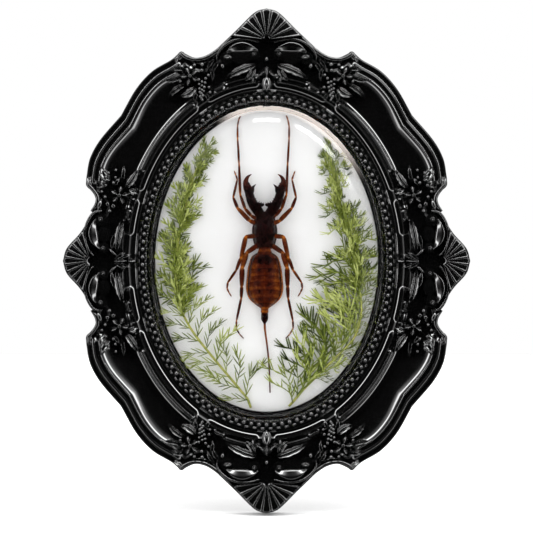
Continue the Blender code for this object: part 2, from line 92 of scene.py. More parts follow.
def feed(tree, made, inputs):
    """Gives a node's inputs their values, and links those that are given another node's output."""
    for name, value in inputs.items():
        if isinstance(value, bpy.types.NodeSocket):
            tree.links.new(value, made.inputs[name])
        else:
            made.inputs[name].default_value = value
    return made


def node(tree, kind, inputs=None, **settings):
    """Adds a node with its inputs fed and its own properties set."""
    made = tree.nodes.new(kind)
    for name, value in settings.items():
        setattr(made, name, value)
    return feed(tree, made, inputs or {})


def calc(tree, operation, *terms):
    """One sum of numbers and outputs, such as "MULTIPLY"."""
    return node(tree, "ShaderNodeMath", dict(enumerate(terms)), operation=operation).outputs[0]


def ramp(tree, source, stops, smooth=True):
    """A ramp through (place, colour or grey) stops."""
    made = node(tree, "ShaderNodeValToRGB", {"Fac": source})
    made.color_ramp.interpolation = "EASE" if smooth else "LINEAR"
    while len(made.color_ramp.elements) < len(stops):
        made.color_ramp.elements.new(0.5)
    for element, (place_at, colour) in zip(made.color_ramp.elements, stops):
        element.position = place_at
        element.color = linear(colour) if isinstance(colour, str) else (colour, colour, colour, 1.0)
    return made.outputs["Color"]


def noise(tree, scale, detail, roughness=0.5):
    """Cloudy noise over the object's own coordinates, in metres."""
    where = node(tree, "ShaderNodeTexCoord").outputs["Object"]
    return node(tree, "ShaderNodeTexNoise", {"Vector": where, "Scale": scale, "Detail": detail,
                                             "Roughness": roughness}).outputs["Fac"]


def bump(tree, height, strength, distance):
    """A normal that takes its slope from a height."""
    return node(tree, "ShaderNodeBump", {"Height": height, "Strength": strength,
                                         "Distance": distance}).outputs["Normal"]


def new_material(name):
    """An empty material with its shader, as (material, tree, shader)."""
    made = bpy.data.materials.new(name)
    made.use_nodes = True
    return made, made.node_tree, made.node_tree.nodes["Principled BSDF"]


# %% [markdown]
# A black glossy thing shows its surroundings and little else. The light here is a tent: a dark
# gap where the camera stands, a bright ring of cloth round it, and a big lamp overhead. It is
# drawn on the world by direction, so that each ridge of the frame carries one thin bright line.
# The camera itself sees plain white, as in a product picture.

# %% Light tent
world = bpy.data.worlds.new("light_tent")
bpy.context.scene.world = world
world.use_nodes = True
tent = world.node_tree
tent.nodes.clear()
way = node(tent, "ShaderNodeTexCoord").outputs["Generated"]
split = node(tent, "ShaderNodeSeparateXYZ", {"Vector": way}).outputs
ray = node(tent, "ShaderNodeLightPath").outputs
# 0 straight behind the frame, 0.5 at a right angle to the view, 1 towards the camera.
on_ring = node(tent, "ShaderNodeMapRange", {"Value": split["Y"], "From Min": 1.0,
                                            "From Max": -1.0}).outputs["Result"]
# 0.5 straight up, and more towards the right.
around = node(tent, "ShaderNodeMapRange", {"Value": calc(tent, "ARCTAN2", split["X"], split["Z"]),
                                           "From Min": -math.pi, "From Max": math.pi}).outputs["Result"]
RING_STRENGTH = 20.0
LAMP_STRENGTH = 7.0
STRIP_STRENGTH = 18.0
CEILING_STRENGTH = 17.0
LAMP_IN_LACQUER = 0.2
FILTER_TAKES = 0.97


def patch_of_light(across, along):
    """A patch of the tent with soft edges, by its stops across the ring and along it."""
    return calc(tent, "MULTIPLY", ramp(tent, on_ring, across), ramp(tent, around, along))


def glow(strength, colour=(1, 1, 1, 1)):
    return node(tent, "ShaderNodeBackground", {"Color": colour, "Strength": strength}).outputs[0]


def either(share, first, second):
    return node(tent, "ShaderNodeMixShader", {0: share, 1: first, 2: second}).outputs[0]


ring = ramp(tent, on_ring, [(0.0, 0.01), (0.62, 0.012), (0.715, 0.04), (0.75, 0.35), (0.785, 1.0),
                            (0.815, 0.9), (0.85, 0.10), (0.91, 0.0), (1.0, 0.0)])
# Up and to the right the ring has a soft inner edge, which lays a fading sheen on what leans that way.
fade = patch_of_light([(0.80, 0.0), (0.83, 0.22), (0.87, 0.09), (0.91, 0.02), (0.94, 0.0)],
                      [(0.44, 0.0), (0.53, 1.0), (0.67, 1.0), (0.73, 0.0)])
# The ring is brightest at its top. In the smooth dome a filter on the lens takes most of it away.
by_height = calc(tent, "MULTIPLY_ADD", split["Z"], 0.46, 0.54)
filtered = calc(tent, "MULTIPLY_ADD", ray["Is Singular Ray"], -FILTER_TAKES, 1.0)
ring = calc(tent, "MULTIPLY", calc(tent, "ADD", ring, fade), RING_STRENGTH)
ring = calc(tent, "MULTIPLY", calc(tent, "MULTIPLY", ring, by_height), filtered)
lamp_place = node(tent, "ShaderNodeVectorMath", {0: way, 1: Vector((0.26, 0.12, 0.96)).normalized()},
                  operation="DOT_PRODUCT").outputs["Value"]
lamp = calc(tent, "MULTIPLY", ramp(tent, lamp_place, [(0.68, 0.0), (0.82, 1.0), (1.0, 1.0)]), LAMP_STRENGTH)
on_lacquer = calc(tent, "MAXIMUM", ring, calc(tent, "MULTIPLY", lamp, LAMP_IN_LACQUER))
# The dome's outer face mirrors two strips of the ring, above and to the right, and a warm ceiling in its
# steep rim. What lies under that face is shielded by the filter.
outer_face_only = node(tent, "ShaderNodeMapRange", {"Value": ray["Transmission Depth"], "From Max": 1.0,
                                                    "To Min": 1.0, "To Max": 0.0}).outputs["Result"]
strips = patch_of_light([(0.765, 0.0), (0.778, 1.0), (0.806, 1.0), (0.82, 0.0)],
                        [(0.472, 0.0), (0.48, 0.9), (0.52, 0.9), (0.528, 0.0), (0.553, 0.0), (0.562, 1.0),
                         (0.628, 0.8), (0.64, 0.0), (0.652, 0.35), (0.668, 0.3), (0.68, 0.0)])
strips = calc(tent, "MULTIPLY_ADD", calc(tent, "MULTIPLY", strips, outer_face_only), STRIP_STRENGTH, ring)
ceiling = patch_of_light([(0.04, 0.0), (0.1, 0.6), (0.4, 1.0), (0.66, 1.0), (0.71, 0.0)],
                         [(0.41, 0.0), (0.45, 1.0), (0.62, 1.0), (0.68, 0.0)])
ceiling = calc(tent, "MULTIPLY", calc(tent, "MULTIPLY", ceiling, outer_face_only), CEILING_STRENGTH)
in_dome = node(tent, "ShaderNodeAddShader", {0: glow(strips), 1: glow(ceiling, linear("#F5E9E0"))}).outputs[0]
mirrored_light = either(ray["Is Singular Ray"], glow(on_lacquer), in_dome)
# Matt things get the same light softened: dimmer than the ring, and lit a little from all round.
softened = calc(tent, "MULTIPLY_ADD", calc(tent, "MAXIMUM", ring, lamp), 0.10, 1.90)
lit = either(ray["Diffuse Depth"], mirrored_light, glow(softened))
node(tent, "ShaderNodeOutputWorld", {"Surface": either(ray["Is Camera Ray"], lit, glow(1.0))})
print("light tent of", len(tent.nodes), "nodes")

# %% [markdown]
# The frame stands on matt white paper, which takes one soft shadow. A photographer keeps such paper
# out of a mirror-like skin, so here it is switched off for what the lacquer and the dome mirror.

# %% Floor
FLOOR_Z = -105.3 * MM
floor_white, tree, shader = new_material("matt_white_paper")
feed(tree, shader, {"Base Color": ramp(tree, noise(tree, 900.0, 4.0), [(0.3, "#C1C1C1"), (0.7, "#C5C5C5")]),
                    "Roughness": 0.9})
floor_mesh = bpy.data.meshes.new("floor")
floor_mesh.from_pydata([(x, y, FLOOR_Z) for x, y in ((-1.2, -0.5), (1.2, -0.5), (1.2, 1.6), (-1.2, 1.6))],
                       [], [(0, 1, 2, 3)])
floor_mesh.materials.append(floor_white)
floor = put_in_scene("floor", floor_mesh)
floor.visible_glossy = False
floor.visible_transmission = False

# %% [markdown]
# The frame is cast resin under gloss black lacquer. Lacquer is one clear smooth skin over a
# near-black ground, so a coat carries the sharp reflections and the rougher ground below gives the
# faint grey bloom round them. Sprayed lacquer is never quite flat: a fine orange peel breaks
# the long highlights into grains about a third of a millimetre across.

# %% Gloss lacquer on cast resin
black_lacquer, tree, shader = new_material("gloss_black_lacquer_on_cast_resin")
peel = noise(tree, 2600.0, 3.0, 0.6)
sag = noise(tree, 420.0, 2.0)
skin = bump(tree, calc(tree, "ADD", calc(tree, "MULTIPLY", peel, 0.35), sag), 0.2, 0.00003)
feed(tree, shader, {
    "Base Color": ramp(tree, peel, [(0.35, "#020202"), (0.65, "#050505")]),
    "Roughness": ramp(tree, sag, [(0.3, 0.20), (0.7, 0.28)]),
    "Normal": skin, "Coat Normal": skin, "IOR": 1.5, "Specular IOR Level": 0.06,
    "Coat Weight": 1.0, "Coat Roughness": 0.06, "Coat IOR": 1.75,
})

# %% [markdown]
# Meshes here are grids: rows of points across a shape, each row with as many points as the last.
# A grid closed both ways is a ring, like the frame. An open grid is one face of a relief, and gets
# a skirt down into the casting below and a floor, so that it is a closed body.

# %% Helpers for grids
def to_metres(points):
    """(x, z, height) rows in millimetres as metres in the frame's own axes."""
    points = np.asarray(points, float).reshape(-1, 3)
    return np.column_stack((points[:, 0], -points[:, 2], points[:, 1])) * MM


def grid_faces(rows, cols, wrap_rows=False, wrap_cols=False):
    """Four-sided faces over a grid, numbered row by row."""
    faces = []
    for r in range(rows if wrap_rows else rows - 1):
        for c in range(cols if wrap_cols else cols - 1):
            after, below = (c + 1) % cols, (r + 1) % rows
            faces.append((r * cols + c, r * cols + after, below * cols + after, below * cols + c))
    return faces


def capped(rows, cols):
    """Faces of a tube of closed rings, with a flat cap at each end."""
    ends = [tuple(range(first, first + cols)) for first in (0, (rows - 1) * cols)]
    return grid_faces(rows, cols, False, True) + ends


def relief_body(grid, foot):
    """An open grid with a skirt down to a foot height and a flat floor, as (points, faces)."""
    rows, cols = grid.shape[:2]
    numbers = np.arange(rows * cols).reshape(rows, cols)
    edge = np.concatenate((numbers[0], numbers[1:, -1], numbers[-1, -2::-1], numbers[-2:0:-1, 0])).tolist()
    points = grid.reshape(-1, 3)
    skirt = points[edge] * (1, 1, 0) + (0, 0, foot)
    count, length = len(points), len(edge)
    faces = grid_faces(rows, cols)
    faces += [(edge[i], edge[(i + 1) % length], count + (i + 1) % length, count + i) for i in range(length)]
    faces.append(tuple(range(count, count + length)))
    return np.vstack((points, skirt)), faces


SHARP_ANGLE = 50.0


def build(name, bodies, material, sharp=SHARP_ANGLE):
    """Makes one object from (points in mm, faces) bodies, with outward normals and smooth shading."""
    points, faces, start = [], [], 0
    for body_points, body_faces in bodies:
        points.append(to_metres(body_points))
        faces += [tuple(i + start for i in face) for face in body_faces]
        start += len(points[-1])
    mesh = bpy.data.meshes.new(name)
    mesh.from_pydata(np.vstack(points).tolist(), [], faces)
    bm = bmesh.new()
    bm.from_mesh(mesh)
    bmesh.ops.recalc_face_normals(bm, faces=bm.faces)
    bm.to_mesh(mesh)
    bm.free()
    mesh.shade_smooth()
    mesh.set_sharp_from_angle(angle=math.radians(sharp))
    mesh.materials.append(material)
    print(name, len(mesh.polygons), "faces")
    return put_in_scene(name, mesh)


def made_plain(holder, name):
    """Turns an object with modifiers into a plain mesh object, and removes the holder."""
    settled = holder.evaluated_get(bpy.context.evaluated_depsgraph_get())
    mesh = bpy.data.meshes.new_from_object(settled)
    bpy.data.objects.remove(holder, do_unlink=True)
    mesh.name = name
    print(name, len(mesh.polygons), "faces")
    return put_in_scene(name, mesh)


def dress(made, solid):
    """Hangs a finished piece on the root body and hides the solid that it stands for."""
    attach(made, "root")
    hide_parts(solid)
    return made


def curve_through(points, steps):
    """Points along a smooth curve through the given ones, both ends included."""
    points = [np.array(p, float) for p in points]
    ends = [2 * points[0] - points[1]] + points + [2 * points[-1] - points[-2]]
    found = []
    for step in range(steps + 1):
        at = step / steps * (len(points) - 1)
        first = min(int(at), len(points) - 2)
        t = at - first
        a, b, c, d = ends[first:first + 4]
        found.append(0.5 * (2 * b + (c - a) * t + (2 * a - 5 * b + 4 * c - d) * t ** 2
                            + (3 * b - a - 3 * c + d) * t ** 3))
    return np.array(found)


def run_length(line):
    """How far along a line each of its points lies."""
    return np.concatenate(([0], np.cumsum(np.linalg.norm(np.diff(line, axis=0), axis=1))))


def drawn_curve(line, closed=False):
    """A curve object through (x, z, height) points in millimetres."""
    drawn = bpy.data.curves.new("line", "CURVE")
    drawn.dimensions = "3D"
    spline = drawn.splines.new("POLY")
    spline.points.add(len(line) - 1)
    spline.use_cyclic_u = closed
    for point, at in zip(spline.points, to_metres(line)):
        point.co = (*at, 1.0)
    return put_in_scene("line", drawn)


# %% [markdown]
# The casting is one ring. Its outline is drawn for one quarter, as curves that meet in corners,
# and mirrored. Rows of points run round it: first the outer moulding, each row a set distance in
# from the outline, then the broad cove, then the inner mouldings, which are offsets of
# the bead oval. The mouldings stop at the hollows beside the fans, so their height fades there.

# %% Outline of the frame
OUTLINE_STEP = 0.85
EAR_FADE = 2.4
QUARTER = [
    ("fan", [(0, 105.1), (5, 103.4), (12.8, 95.9), (20.5, 88.6)]),
    ("hollow", [(20.5, 88.6), (25.5, 85.2), (30, 84.7), (34, 86.4)]),
    ("ear", [(34, 86.4), (34.9, 87.2), (36, 87.2), (36.9, 86.2)]),
    ("lobe", [(36.9, 86.2), (40, 83.7), (47.8, 79), (54.5, 71.6), (60.7, 60.7)]),
    ("lobe", [(60.7, 60.7), (69.3, 50.7), (73.6, 43), (75, 36), (75.2, 33.2)]),
    ("ear", [(75.2, 33.2), (75.3, 31.8), (74.6, 30.6), (73.6, 29.8)]),
    ("hollow", [(73.6, 29.8), (71.8, 27.4), (71.1, 24.6), (71.8, 21.3)]),
    ("fan", [(71.8, 21.3), (77.5, 12), (83.2, 5.4), (84.9, 0)]),
]


def quarter_outline():
    """(x, z, share of moulding, share of fan) down the upper right quarter, evenly spaced."""
    found, lobes = [], 0
    for kind, points in QUARTER:
        lobes += kind == "lobe"
        fine = curve_through(points, 200)
        run = run_length(fine)
        count = max(2, round(run[-1] / OUTLINE_STEP))
        for at in run[-1] * np.arange(count) / count:
            # The full moulding runs over the two lobes and fades over a few millimetres at their ears.
            from_ear = at if lobes == 1 else run[-1] - at
            moulding = min(1.0, from_ear / EAR_FADE) ** 1.5 if kind == "lobe" else 0.0
            x, z = np.interp(at, run, fine[:, 0]), np.interp(at, run, fine[:, 1])
            found.append((x, z, moulding, kind == "fan"))
    return found


quarter = quarter_outline()
half = quarter + [(84.9, 0.0, 0.0, 1.0)] + [(x, -z, m, f) for x, z, m, f in reversed(quarter)]
outline = np.array(half + [(-x, z, m, f) for x, z, m, f in reversed(half[1:-1])], float)
print("outline", len(outline), "points")

# %% [markdown]
# A mould-maker draws a moulding as a section, and so does this cell: heights against the distance
# from the outline or from the bead oval. Two raised bars run beside the beads only where the
# hollows leave them room, so each has its spans of the quarter.

# %% Heights across the casting
BEAD_OVAL = np.array((51.2, 67.6))
# The outer moulding as (distance in, height over a lobe, height elsewhere).
OUTER = [(0, 0, 0), (0.12, 2.4, 3), (0.25, 5, 6), (0.42, 7.9, 8.8), (0.6, 8.9, 10), (0.85, 9.6, 10.6),
         (1.1, 9.9, 10.85), (1.4, 9.7, 10.95), (1.75, 9.1, 11), (2.1, 8.9, 10.8), (2.4, 9.3, 10.5),
         (2.65, 10, 10.2), (2.9, 10.4, 10), (3.2, 10.4, 9.9), (3.6, 10.6, 9.9), (4, 11.3, 9.9),
         (4.3, 11.6, 9.9), (4.6, 11.4, 9.9), (4.95, 10.8, 9.9), (5.25, 10.7, 9.9), (5.55, 11.1, 10),
         (5.9, 12, 10.1), (6.25, 12.5, 10.2), (6.6, 12.6, 10.3), (6.9, 12.4, 10.4)]
# The cove's fall from the moulding, as (share of the way in, depth).
COVE = [(0.04, 0.52), (0.1, 0.89), (0.16, 1.23), (0.22, 1.53), (0.3, 1.86), (0.4, 2.17), (0.52, 2.4),
        (0.66, 2.54), (0.82, 2.56), (0.92, 2.35)]
COVE_TOP = 12.4
PLAIN_TOP = 10.4
# The inner mouldings as (offset from the bead oval, height, crest A, crest B, crest C).
INNER = [(9.6, 10.3, 0, 0, 0), (9.15, 10.7, 0.4, 0, 0), (8.85, 11, 1.5, 0, 0), (8.6, 11.1, 2.4, 0, 0),
         (8.4, 11.2, 2.6, 0, 0), (8.15, 11.3, 2.3, 0, 0), (7.9, 11.4, 1.7, 0.3, 0), (7.4, 11.5, 1.4, 0.9, 0),
         (6.9, 11.6, 1.3, 1.3, 0), (6.65, 11.7, 0.9, 1.8, 0), (6.45, 11.7, 0, 2.3, 0),
         (6.25, 11.7, 0, 2.5, 0), (6.05, 11.7, 0, 2.2, 0), (5.8, 11.6, 0, 1.4, 0), (5.4, 11.4, 0, 0.7, 0),
         (4.8, 11.2, 0, 0.2, 0), (4, 11, 0, 0, 0), (3.2, 11, 0, 0, 0), (2.7, 11.1, 0, 0, 0.3),
         (2.4, 11.2, 0, 0, 1), (2.15, 11.3, 0, 0, 1.3), (1.9, 11.3, 0, 0, 1), (1.65, 11.3, 0, 0, 0.2),
         (1.2, 11.3, 0, 0, 0), (0.6, 11.5, 0, 0, 0), (0, 11.6, 0, 0, 0), (-0.7, 11.4, 0, 0, 0),
         (-1.1, 11.2, 0, 0, 0), (-1.45, 10.8, 0, 0, 0), (-1.6, 10.2, 0, 0, 0), (-1.62, 9, 0, 0, 0),
         (-1.65, 7.7, 0, 0, 0), (-1.8, 7.5, 0, 0, 0), (-4.9, 7.5, 0, 0, 0), (-5, 7.4, 0, 0, 0),
         (-5, 5.6, 0, 0, 0), (-0.8, 5.6, 0, 0, 0), (-0.8, 0, 0, 0, 0)]
# Where the two raised bars run, in degrees from the top or bottom, in each quarter.
BAR_A = [(17, 21.8), (30.1, 60.8), (73.6, 77.2)]
BAR_B = [(4, 24.7), (30.8, 66), (70.5, 81)]


def bar_share(angle, spans):
    """1 inside a span of the quarter, 0 outside, with short steep ends."""
    turned = math.degrees(math.atan2(abs(math.sin(angle)), abs(math.cos(angle))))
    return max(min(1.0, max(0.0, min(turned - a, b - turned) / 0.7 + 0.5)) for a, b in spans)


def oval_at(angles, offset):
    across, up = BEAD_OVAL + offset
    return np.column_stack((across * np.sin(angles), up * np.cos(angles)))


# %% [markdown]
# The sections become rows of points that run round the ring. Where the frame is narrow, beside the
# fans, the outer rows are squeezed together. The last row closes on the first along the flat back.

# %% The casting
EDGE_ROOM = 0.6
SQUEEZED_BELOW = 8.0
edge_points, share = outline[:, :2], outline[:, 2]
angles = np.arctan2(edge_points[:, 0] / BEAD_OVAL[0], edge_points[:, 1] / BEAD_OVAL[1])
inner_edge = oval_at(angles, INNER[0][0])
inward = inner_edge - edge_points
reach = np.linalg.norm(inward, axis=1)
inward /= reach[:, None]
squeeze = np.minimum(1.0, (reach - EDGE_ROOM) / SQUEEZED_BELOW)
casting_rows = []
for distance, full, bare in OUTER:
    at = edge_points + inward * (distance * squeeze)[:, None]
    casting_rows.append(np.column_stack((at, full * share + bare * (1 - share))))
start = casting_rows[-1][:, :2]
for way_in, fall in COVE:
    at = start + (inner_edge - start) * way_in
    casting_rows.append(np.column_stack((at, (COVE_TOP - fall) * share + (1 - share) * PLAIN_TOP)))
share_a, share_b = (np.array([bar_share(a, spans) for a in angles]) for spans in (BAR_A, BAR_B))
for offset, base, a, b, c in INNER:
    height = base + np.maximum(a * share_a, b * share_b) + c
    casting_rows.append(np.column_stack((oval_at(angles, offset), height)))
casting_faces = grid_faces(len(casting_rows), len(outline), True, True)
casting = build("uncut_casting", [(np.vstack(casting_rows), casting_faces)], black_lacquer)

# %% [markdown]
# The frame hangs on a wall screw by a keyhole slot in its back. The head goes in at the round
# mouth, and the frame then drops until the shank sits in the narrow slot, with the head in the
# wider room behind it. Such a pocket is cut out of a full casting, so three straight cutters are
# taken out of the mesh and then removed.

# %% Keyhole slot
KEYHOLE_Z = 79.0
# Each cutter as (half width, length between its round ends, and the heights that it runs between).
KEYHOLE_CUTS = [(4.2, 0.0, -1.0, 5.0), (2.2, 8.0, -1.2, 4.6), (4.0, 8.0, 2.0, 4.8)]
CUTTER_SIDES = 28
turns = (np.arange(CUTTER_SIDES) + 0.5) * math.tau / CUTTER_SIDES
cutters = []
for half_width, length, low, high in KEYHOLE_CUTS:
    across = half_width * np.cos(turns)
    up = KEYHOLE_Z + half_width * np.sin(turns) + np.where(np.sin(turns) > 0, length, 0)
    rings = np.vstack([np.column_stack((across, up, np.full(CUTTER_SIDES, h))) for h in (low, high)])
    cutter = build("cutter", [(rings, capped(2, CUTTER_SIDES))], black_lacquer)
    cut = casting.modifiers.new("keyhole", "BOOLEAN")
    cut.operation, cut.solver, cut.object = "DIFFERENCE", "EXACT", cutter
    cutters.append(cutter)
casting = made_plain(casting, "frame_casting")
casting.data.set_sharp_from_angle(angle=math.radians(SHARP_ANGLE))
for cutter in cutters:
    bpy.data.objects.remove(cutter, do_unlink=True)
dress(casting, "frame")

# %% [markdown]
# The ornament was modelled in clay and cast with the frame: fans, scrolls, leaves, flowers and
# berries. A carver sees most of it as ribbons. A ribbon here is a smooth line with a width and a
# height at each point and one section carried along it. A leaf, a petal and a scroll differ in
# that section and in how the width swells. Each is sunk in the casting by its skirt.

# %% Ribbons and bosses
RELIEF_FOOT = 8.6
THINNEST_RIBBON = 0.12
FULL_SECTION_FROM = 0.9


def both_sides(half_section):
    """A symmetrical section from its middle and right half, as (share out, rise)."""
    return [(-out, rise) for out, rise in half_section[:0:-1]] + half_section


ROLL = both_sides([(0, 0), (0.3, -0.02), (0.62, -0.12), (0.86, -0.42), (0.97, -0.9), (1, -1.5)])
DISH = both_sides([(0, -0.7), (0.35, -0.55), (0.6, -0.15), (0.72, 0), (0.84, -0.08), (0.94, -0.5), (1, -1.2)])
VEINED = both_sides([(0, 0.05), (0.16, -0.4), (0.32, -0.55), (0.56, -0.42), (0.72, -0.05), (0.84, -0.05),
                     (0.94, -0.45), (1, -1.2)])
DOME_SHAPE = [(1.0, 1.6), (0.985, 0.95), (0.9, 0.6), (0.72, 0.3), (0.5, 0.11)]
DISC_SHAPE = [(1.0, 3.2), (0.99, 0.36), (0.85, 0.24), (0.6, 0.1), (0.35, 0.03), (0.2, 0.01)]
DISC_DEPTH = 0.5


def ribbon(points, section, steps, lobes=0):
    """A relief along (x, z, half width, height) points. Lobes notch the edges, as on a leaf."""
    line = curve_through(points, steps)
    line[:, 2] = np.maximum(line[:, 2], THINNEST_RIBBON)
    if lobes:
        line[:, 2] *= 0.86 + 0.2 * np.abs(np.sin(np.linspace(0, math.pi * lobes, len(line))))
    along = np.gradient(line[:, :2], axis=0)
    along /= np.linalg.norm(along, axis=1)[:, None]
    across = np.column_stack((-along[:, 1], along[:, 0]))
    slender = np.minimum(1.0, line[:, 2] / FULL_SECTION_FROM)
    rows = []
    for share_out, rise in section:
        at = line[:, :2] + across * (line[:, 2] * share_out)[:, None]
        rows.append(np.column_stack((at, line[:, 3] + rise * slender)))
    return relief_body(np.array(rows), RELIEF_FOOT)


def boss(x, z, radius, top, around=9, stretch=1.0, turn=0.0, dimple=0.0, disc=False):
    """A round or oval dome with a dimple in its crown if asked, or a nearly flat disc with a sharp edge."""
    shape, depth = (DISC_SHAPE, DISC_DEPTH) if disc else (DOME_SHAPE + [(0.25, 0.02 + dimple * 0.7)], radius)
    turns = math.tau * (np.arange(around) + 0.5) / around
    rows = []
    for share_out, fall in shape:
        u, v = radius * stretch * share_out * np.cos(turns), radius * share_out * np.sin(turns)
        rows.append(np.column_stack((x + u * math.cos(turn) - v * math.sin(turn),
                                     z + u * math.sin(turn) + v * math.cos(turn),
                                     np.full(around, top - fall * depth))))
    crown = len(shape) * around
    faces = grid_faces(len(shape), around, False, True)
    for i in range(around):
        j = (i + 1) % around
        faces += [(crown - around + i, crown - around + j, crown), (i, j, crown + 1 + j, crown + 1 + i)]
    faces.append(tuple(range(crown + 1, crown + 1 + around)))
    foot = rows[0] * (1, 1, 0) + (0, 0, RELIEF_FOOT)
    return np.vstack(rows + [(x, z, top - dimple * depth), foot]), faces


def mirrored(body, sign_x, sign_z):
    points, faces = body
    return points * np.array((sign_x, sign_z, 1.0)), faces


def ornament(name, bodies, sharp=70):
    """A finished piece of the casting's ornament."""
    return dress(build(name, bodies, black_lacquer, sharp), "frame")


def four_times(parts):
    return [mirrored(part, sx, sz) for part in parts for sx in (1, -1) for sz in (1, -1)]


# %% [markdown]
# Each of the four fans is a shell of nine flutes that spread from a hub to the outline. A flute
# is hollow with a sharp rim on each side and a dark gap to its neighbour. The points lie on rays
# from the hub, so every rim is one clean line of edges and takes one clean line of light.

# %% The four fans
FLUTES = 9
FAN_RIM = 1.15
HUB_RADIUS = 0.9
FLUTE_SECTION = both_sides([(0, -0.22), (0.56, -0.2), (0.7, -0.17), (0.79, -0.1), (0.86, 0), (0.90, 0.04),
                            (0.94, 0), (0.97, -0.6), (1, -0.8)])[:-1]
# Along a ray as (share of the way out, height, depth of the flutes). The flutes deepen as they widen.
FAN_RISE = [(0.04, 13.6, 0), (0.09, 13.8, 0), (0.11, 15.1, 0.25), (0.2, 15.25, 0.42), (0.28, 15.3, 0.56),
            (0.39, 15.3, 0.74), (0.5, 15.25, 0.9), (0.61, 15.15, 1), (0.72, 15.05, 1.08), (0.82, 14.9, 1.12),
            (0.9, 14.75, 1.15), (0.95, 14.65, 1.1), (0.978, 14.5, 1), (0.988, 13.4, 0.5), (1, 11.2, 0.2)]


def fan_body(hub, axis_turn, half_angle, edge):
    """One fan: rays from the hub to the outline, with the flutes' section across them."""
    offsets = edge - np.array(hub)
    edge_turn = np.unwrap(np.arctan2(offsets[:, 1], offsets[:, 0]) - axis_turn)
    edge_turn = (edge_turn + math.pi) % math.tau - math.pi
    order = np.argsort(edge_turn)
    rays = [((flute + 0.5 + place_in / 2) / FLUTES * 2 - 1, depth)
            for flute in range(FLUTES) for place_in, depth in FLUTE_SECTION] + [(1.0, -1.0)]
    turn, depth = np.array(rays).T
    turn = turn * half_angle
    full = np.interp(turn, edge_turn[order], np.linalg.norm(offsets, axis=1)[order]) - FAN_RIM
    grid = []
    for share_out, height, bite in FAN_RISE:
        out = HUB_RADIUS + (full - HUB_RADIUS) * share_out
        x, z = hub[0] + out * np.cos(axis_turn + turn), hub[1] + out * np.sin(axis_turn + turn)
        grid.append(np.column_stack((x, z, height + depth * bite)))
    return relief_body(np.array(grid), RELIEF_FOOT)


of_fan = outline[:, 3] > 0
top_fan = fan_body((0, 91.2), math.pi / 2, math.radians(84), edge_points[of_fan & (edge_points[:, 1] > 50)])
side_fan = fan_body((72.6, 0), 0.0, math.radians(77), edge_points[of_fan & (edge_points[:, 0] > 60)])
ornament("fans", [top_fan, mirrored(top_fan, 1, -1), side_fan, mirrored(side_fan, -1, 1)], 60)

# %% [markdown]
# Beside each fan a C-scroll curls into a volute at both ends. In this casting they are soft: the
# scroll is one broad swelling crescent under a thin rim, a volute is a low flat disc with a ringed
# eye, and a cushion fills the bend. At the hollows a thin roll follows the edge and ends in an ear.

# %% Scrolls and cushions
# A crescent leans towards the oval over most of its width, and drops steeply on its outer side.
SWELL = [(-1, -2), (-0.97, -1.5), (-0.9, -1.12), (-0.6, -0.88), (-0.3, -0.64), (0, -0.4), (0.25, -0.2),
         (0.45, -0.06), (0.6, 0), (0.75, -0.08), (0.87, -0.4), (0.96, -0.9), (1, -1.5)]
# Each ribbon as (section, steps, (x, z, half width, height) points).
SCROLL_RIBBONS = [
    (SWELL, 44, [
        (3.6, 86.4, 0.4, 14.6), (5.8, 87.4, 1.4, 15), (9.4, 88.2, 2.3, 15.3), (12.8, 87.8, 2, 15.2),
        (15.2, 86.6, 1.1, 14.8), (16.4, 85.9, 0.4, 14.4)]),
    (ROLL, 40, [
        (3, 90.2, 0.3, 13.8), (8, 91.4, 0.5, 14.2), (13.4, 90.9, 0.6, 14.2), (17.6, 88.6, 0.6, 13.8),
        (20.2, 85.4, 0.5, 13), (20.4, 82.2, 0.4, 12.4)]),
    (ROLL, 30, [
        (19.2, 88.3, 0.4, 12.2), (21.2, 86.2, 0.8, 12.8), (25.4, 83.8, 0.9, 12.6), (30.2, 83.2, 0.8, 12.2),
        (33.8, 84.5, 0.9, 12.2), (35.4, 85.8, 0.9, 11.9)]),
    (SWELL, 40, [
        (70.3, 17.2, 0.4, 14.6), (71.2, 15, 1.3, 15), (71.7, 11.6, 2.1, 15.3), (71, 8.4, 1.9, 15.2),
        (69.6, 6.2, 1, 14.8), (68.6, 5, 0.4, 14.4)]),
    (ROLL, 36, [
        (68, 20.6, 0.4, 12.8), (71.6, 19.6, 0.6, 13.6), (74.4, 14.6, 0.6, 14), (74.8, 8.6, 0.55, 14),
        (73.2, 4.2, 0.4, 13.8), (71.4, 2.2, 0.3, 13.6)]),
    (ROLL, 24, [
        (72.4, 20.4, 0.5, 12.2), (70.2, 23.4, 0.9, 12.8), (69.9, 26.4, 0.9, 12.6), (71.6, 29.2, 0.8, 12.2),
        (73.5, 31.2, 0.9, 11.9)]),
]
# Discs and eyes as (x, z, radius, top, points around, stretch, turn, dimple, disc).
SCROLL_BOSSES = [
    (5, 85, 2.3, 14.2, 26, 1, 0, 0, True), (5.1, 85.2, 0.95, 15.3, 12, 1, 0, 0.5),
    (16.6, 83.6, 2.7, 14, 28, 1, 0, 0, True), (16.1, 84, 0.95, 15, 14, 1.75, 0.1, 0.45),
    (10.4, 84.2, 3.2, 13.8, 28, 1.25, 0, 0, True), (18.2, 80.4, 0.9, 13.6, 12, 1.3, 1.2),
    (68.2, 16.8, 2.6, 14.2, 28, 1, 0, 0, True), (68.4, 17.2, 1, 15.2, 12, 1, 0, 0.45),
    (67.2, 5.4, 2.2, 14.2, 24, 1, 0, 0, True), (67.4, 5.2, 0.9, 15.1, 12, 1, 0, 0.5),
    (67, 11, 2.4, 13.9, 26, 1.4, 1.5, 0, True),
]
ornament("scrolls", four_times([ribbon(points, section, steps) for section, steps, points in SCROLL_RIBBONS]
                               + [boss(*row) for row in SCROLL_BOSSES]))


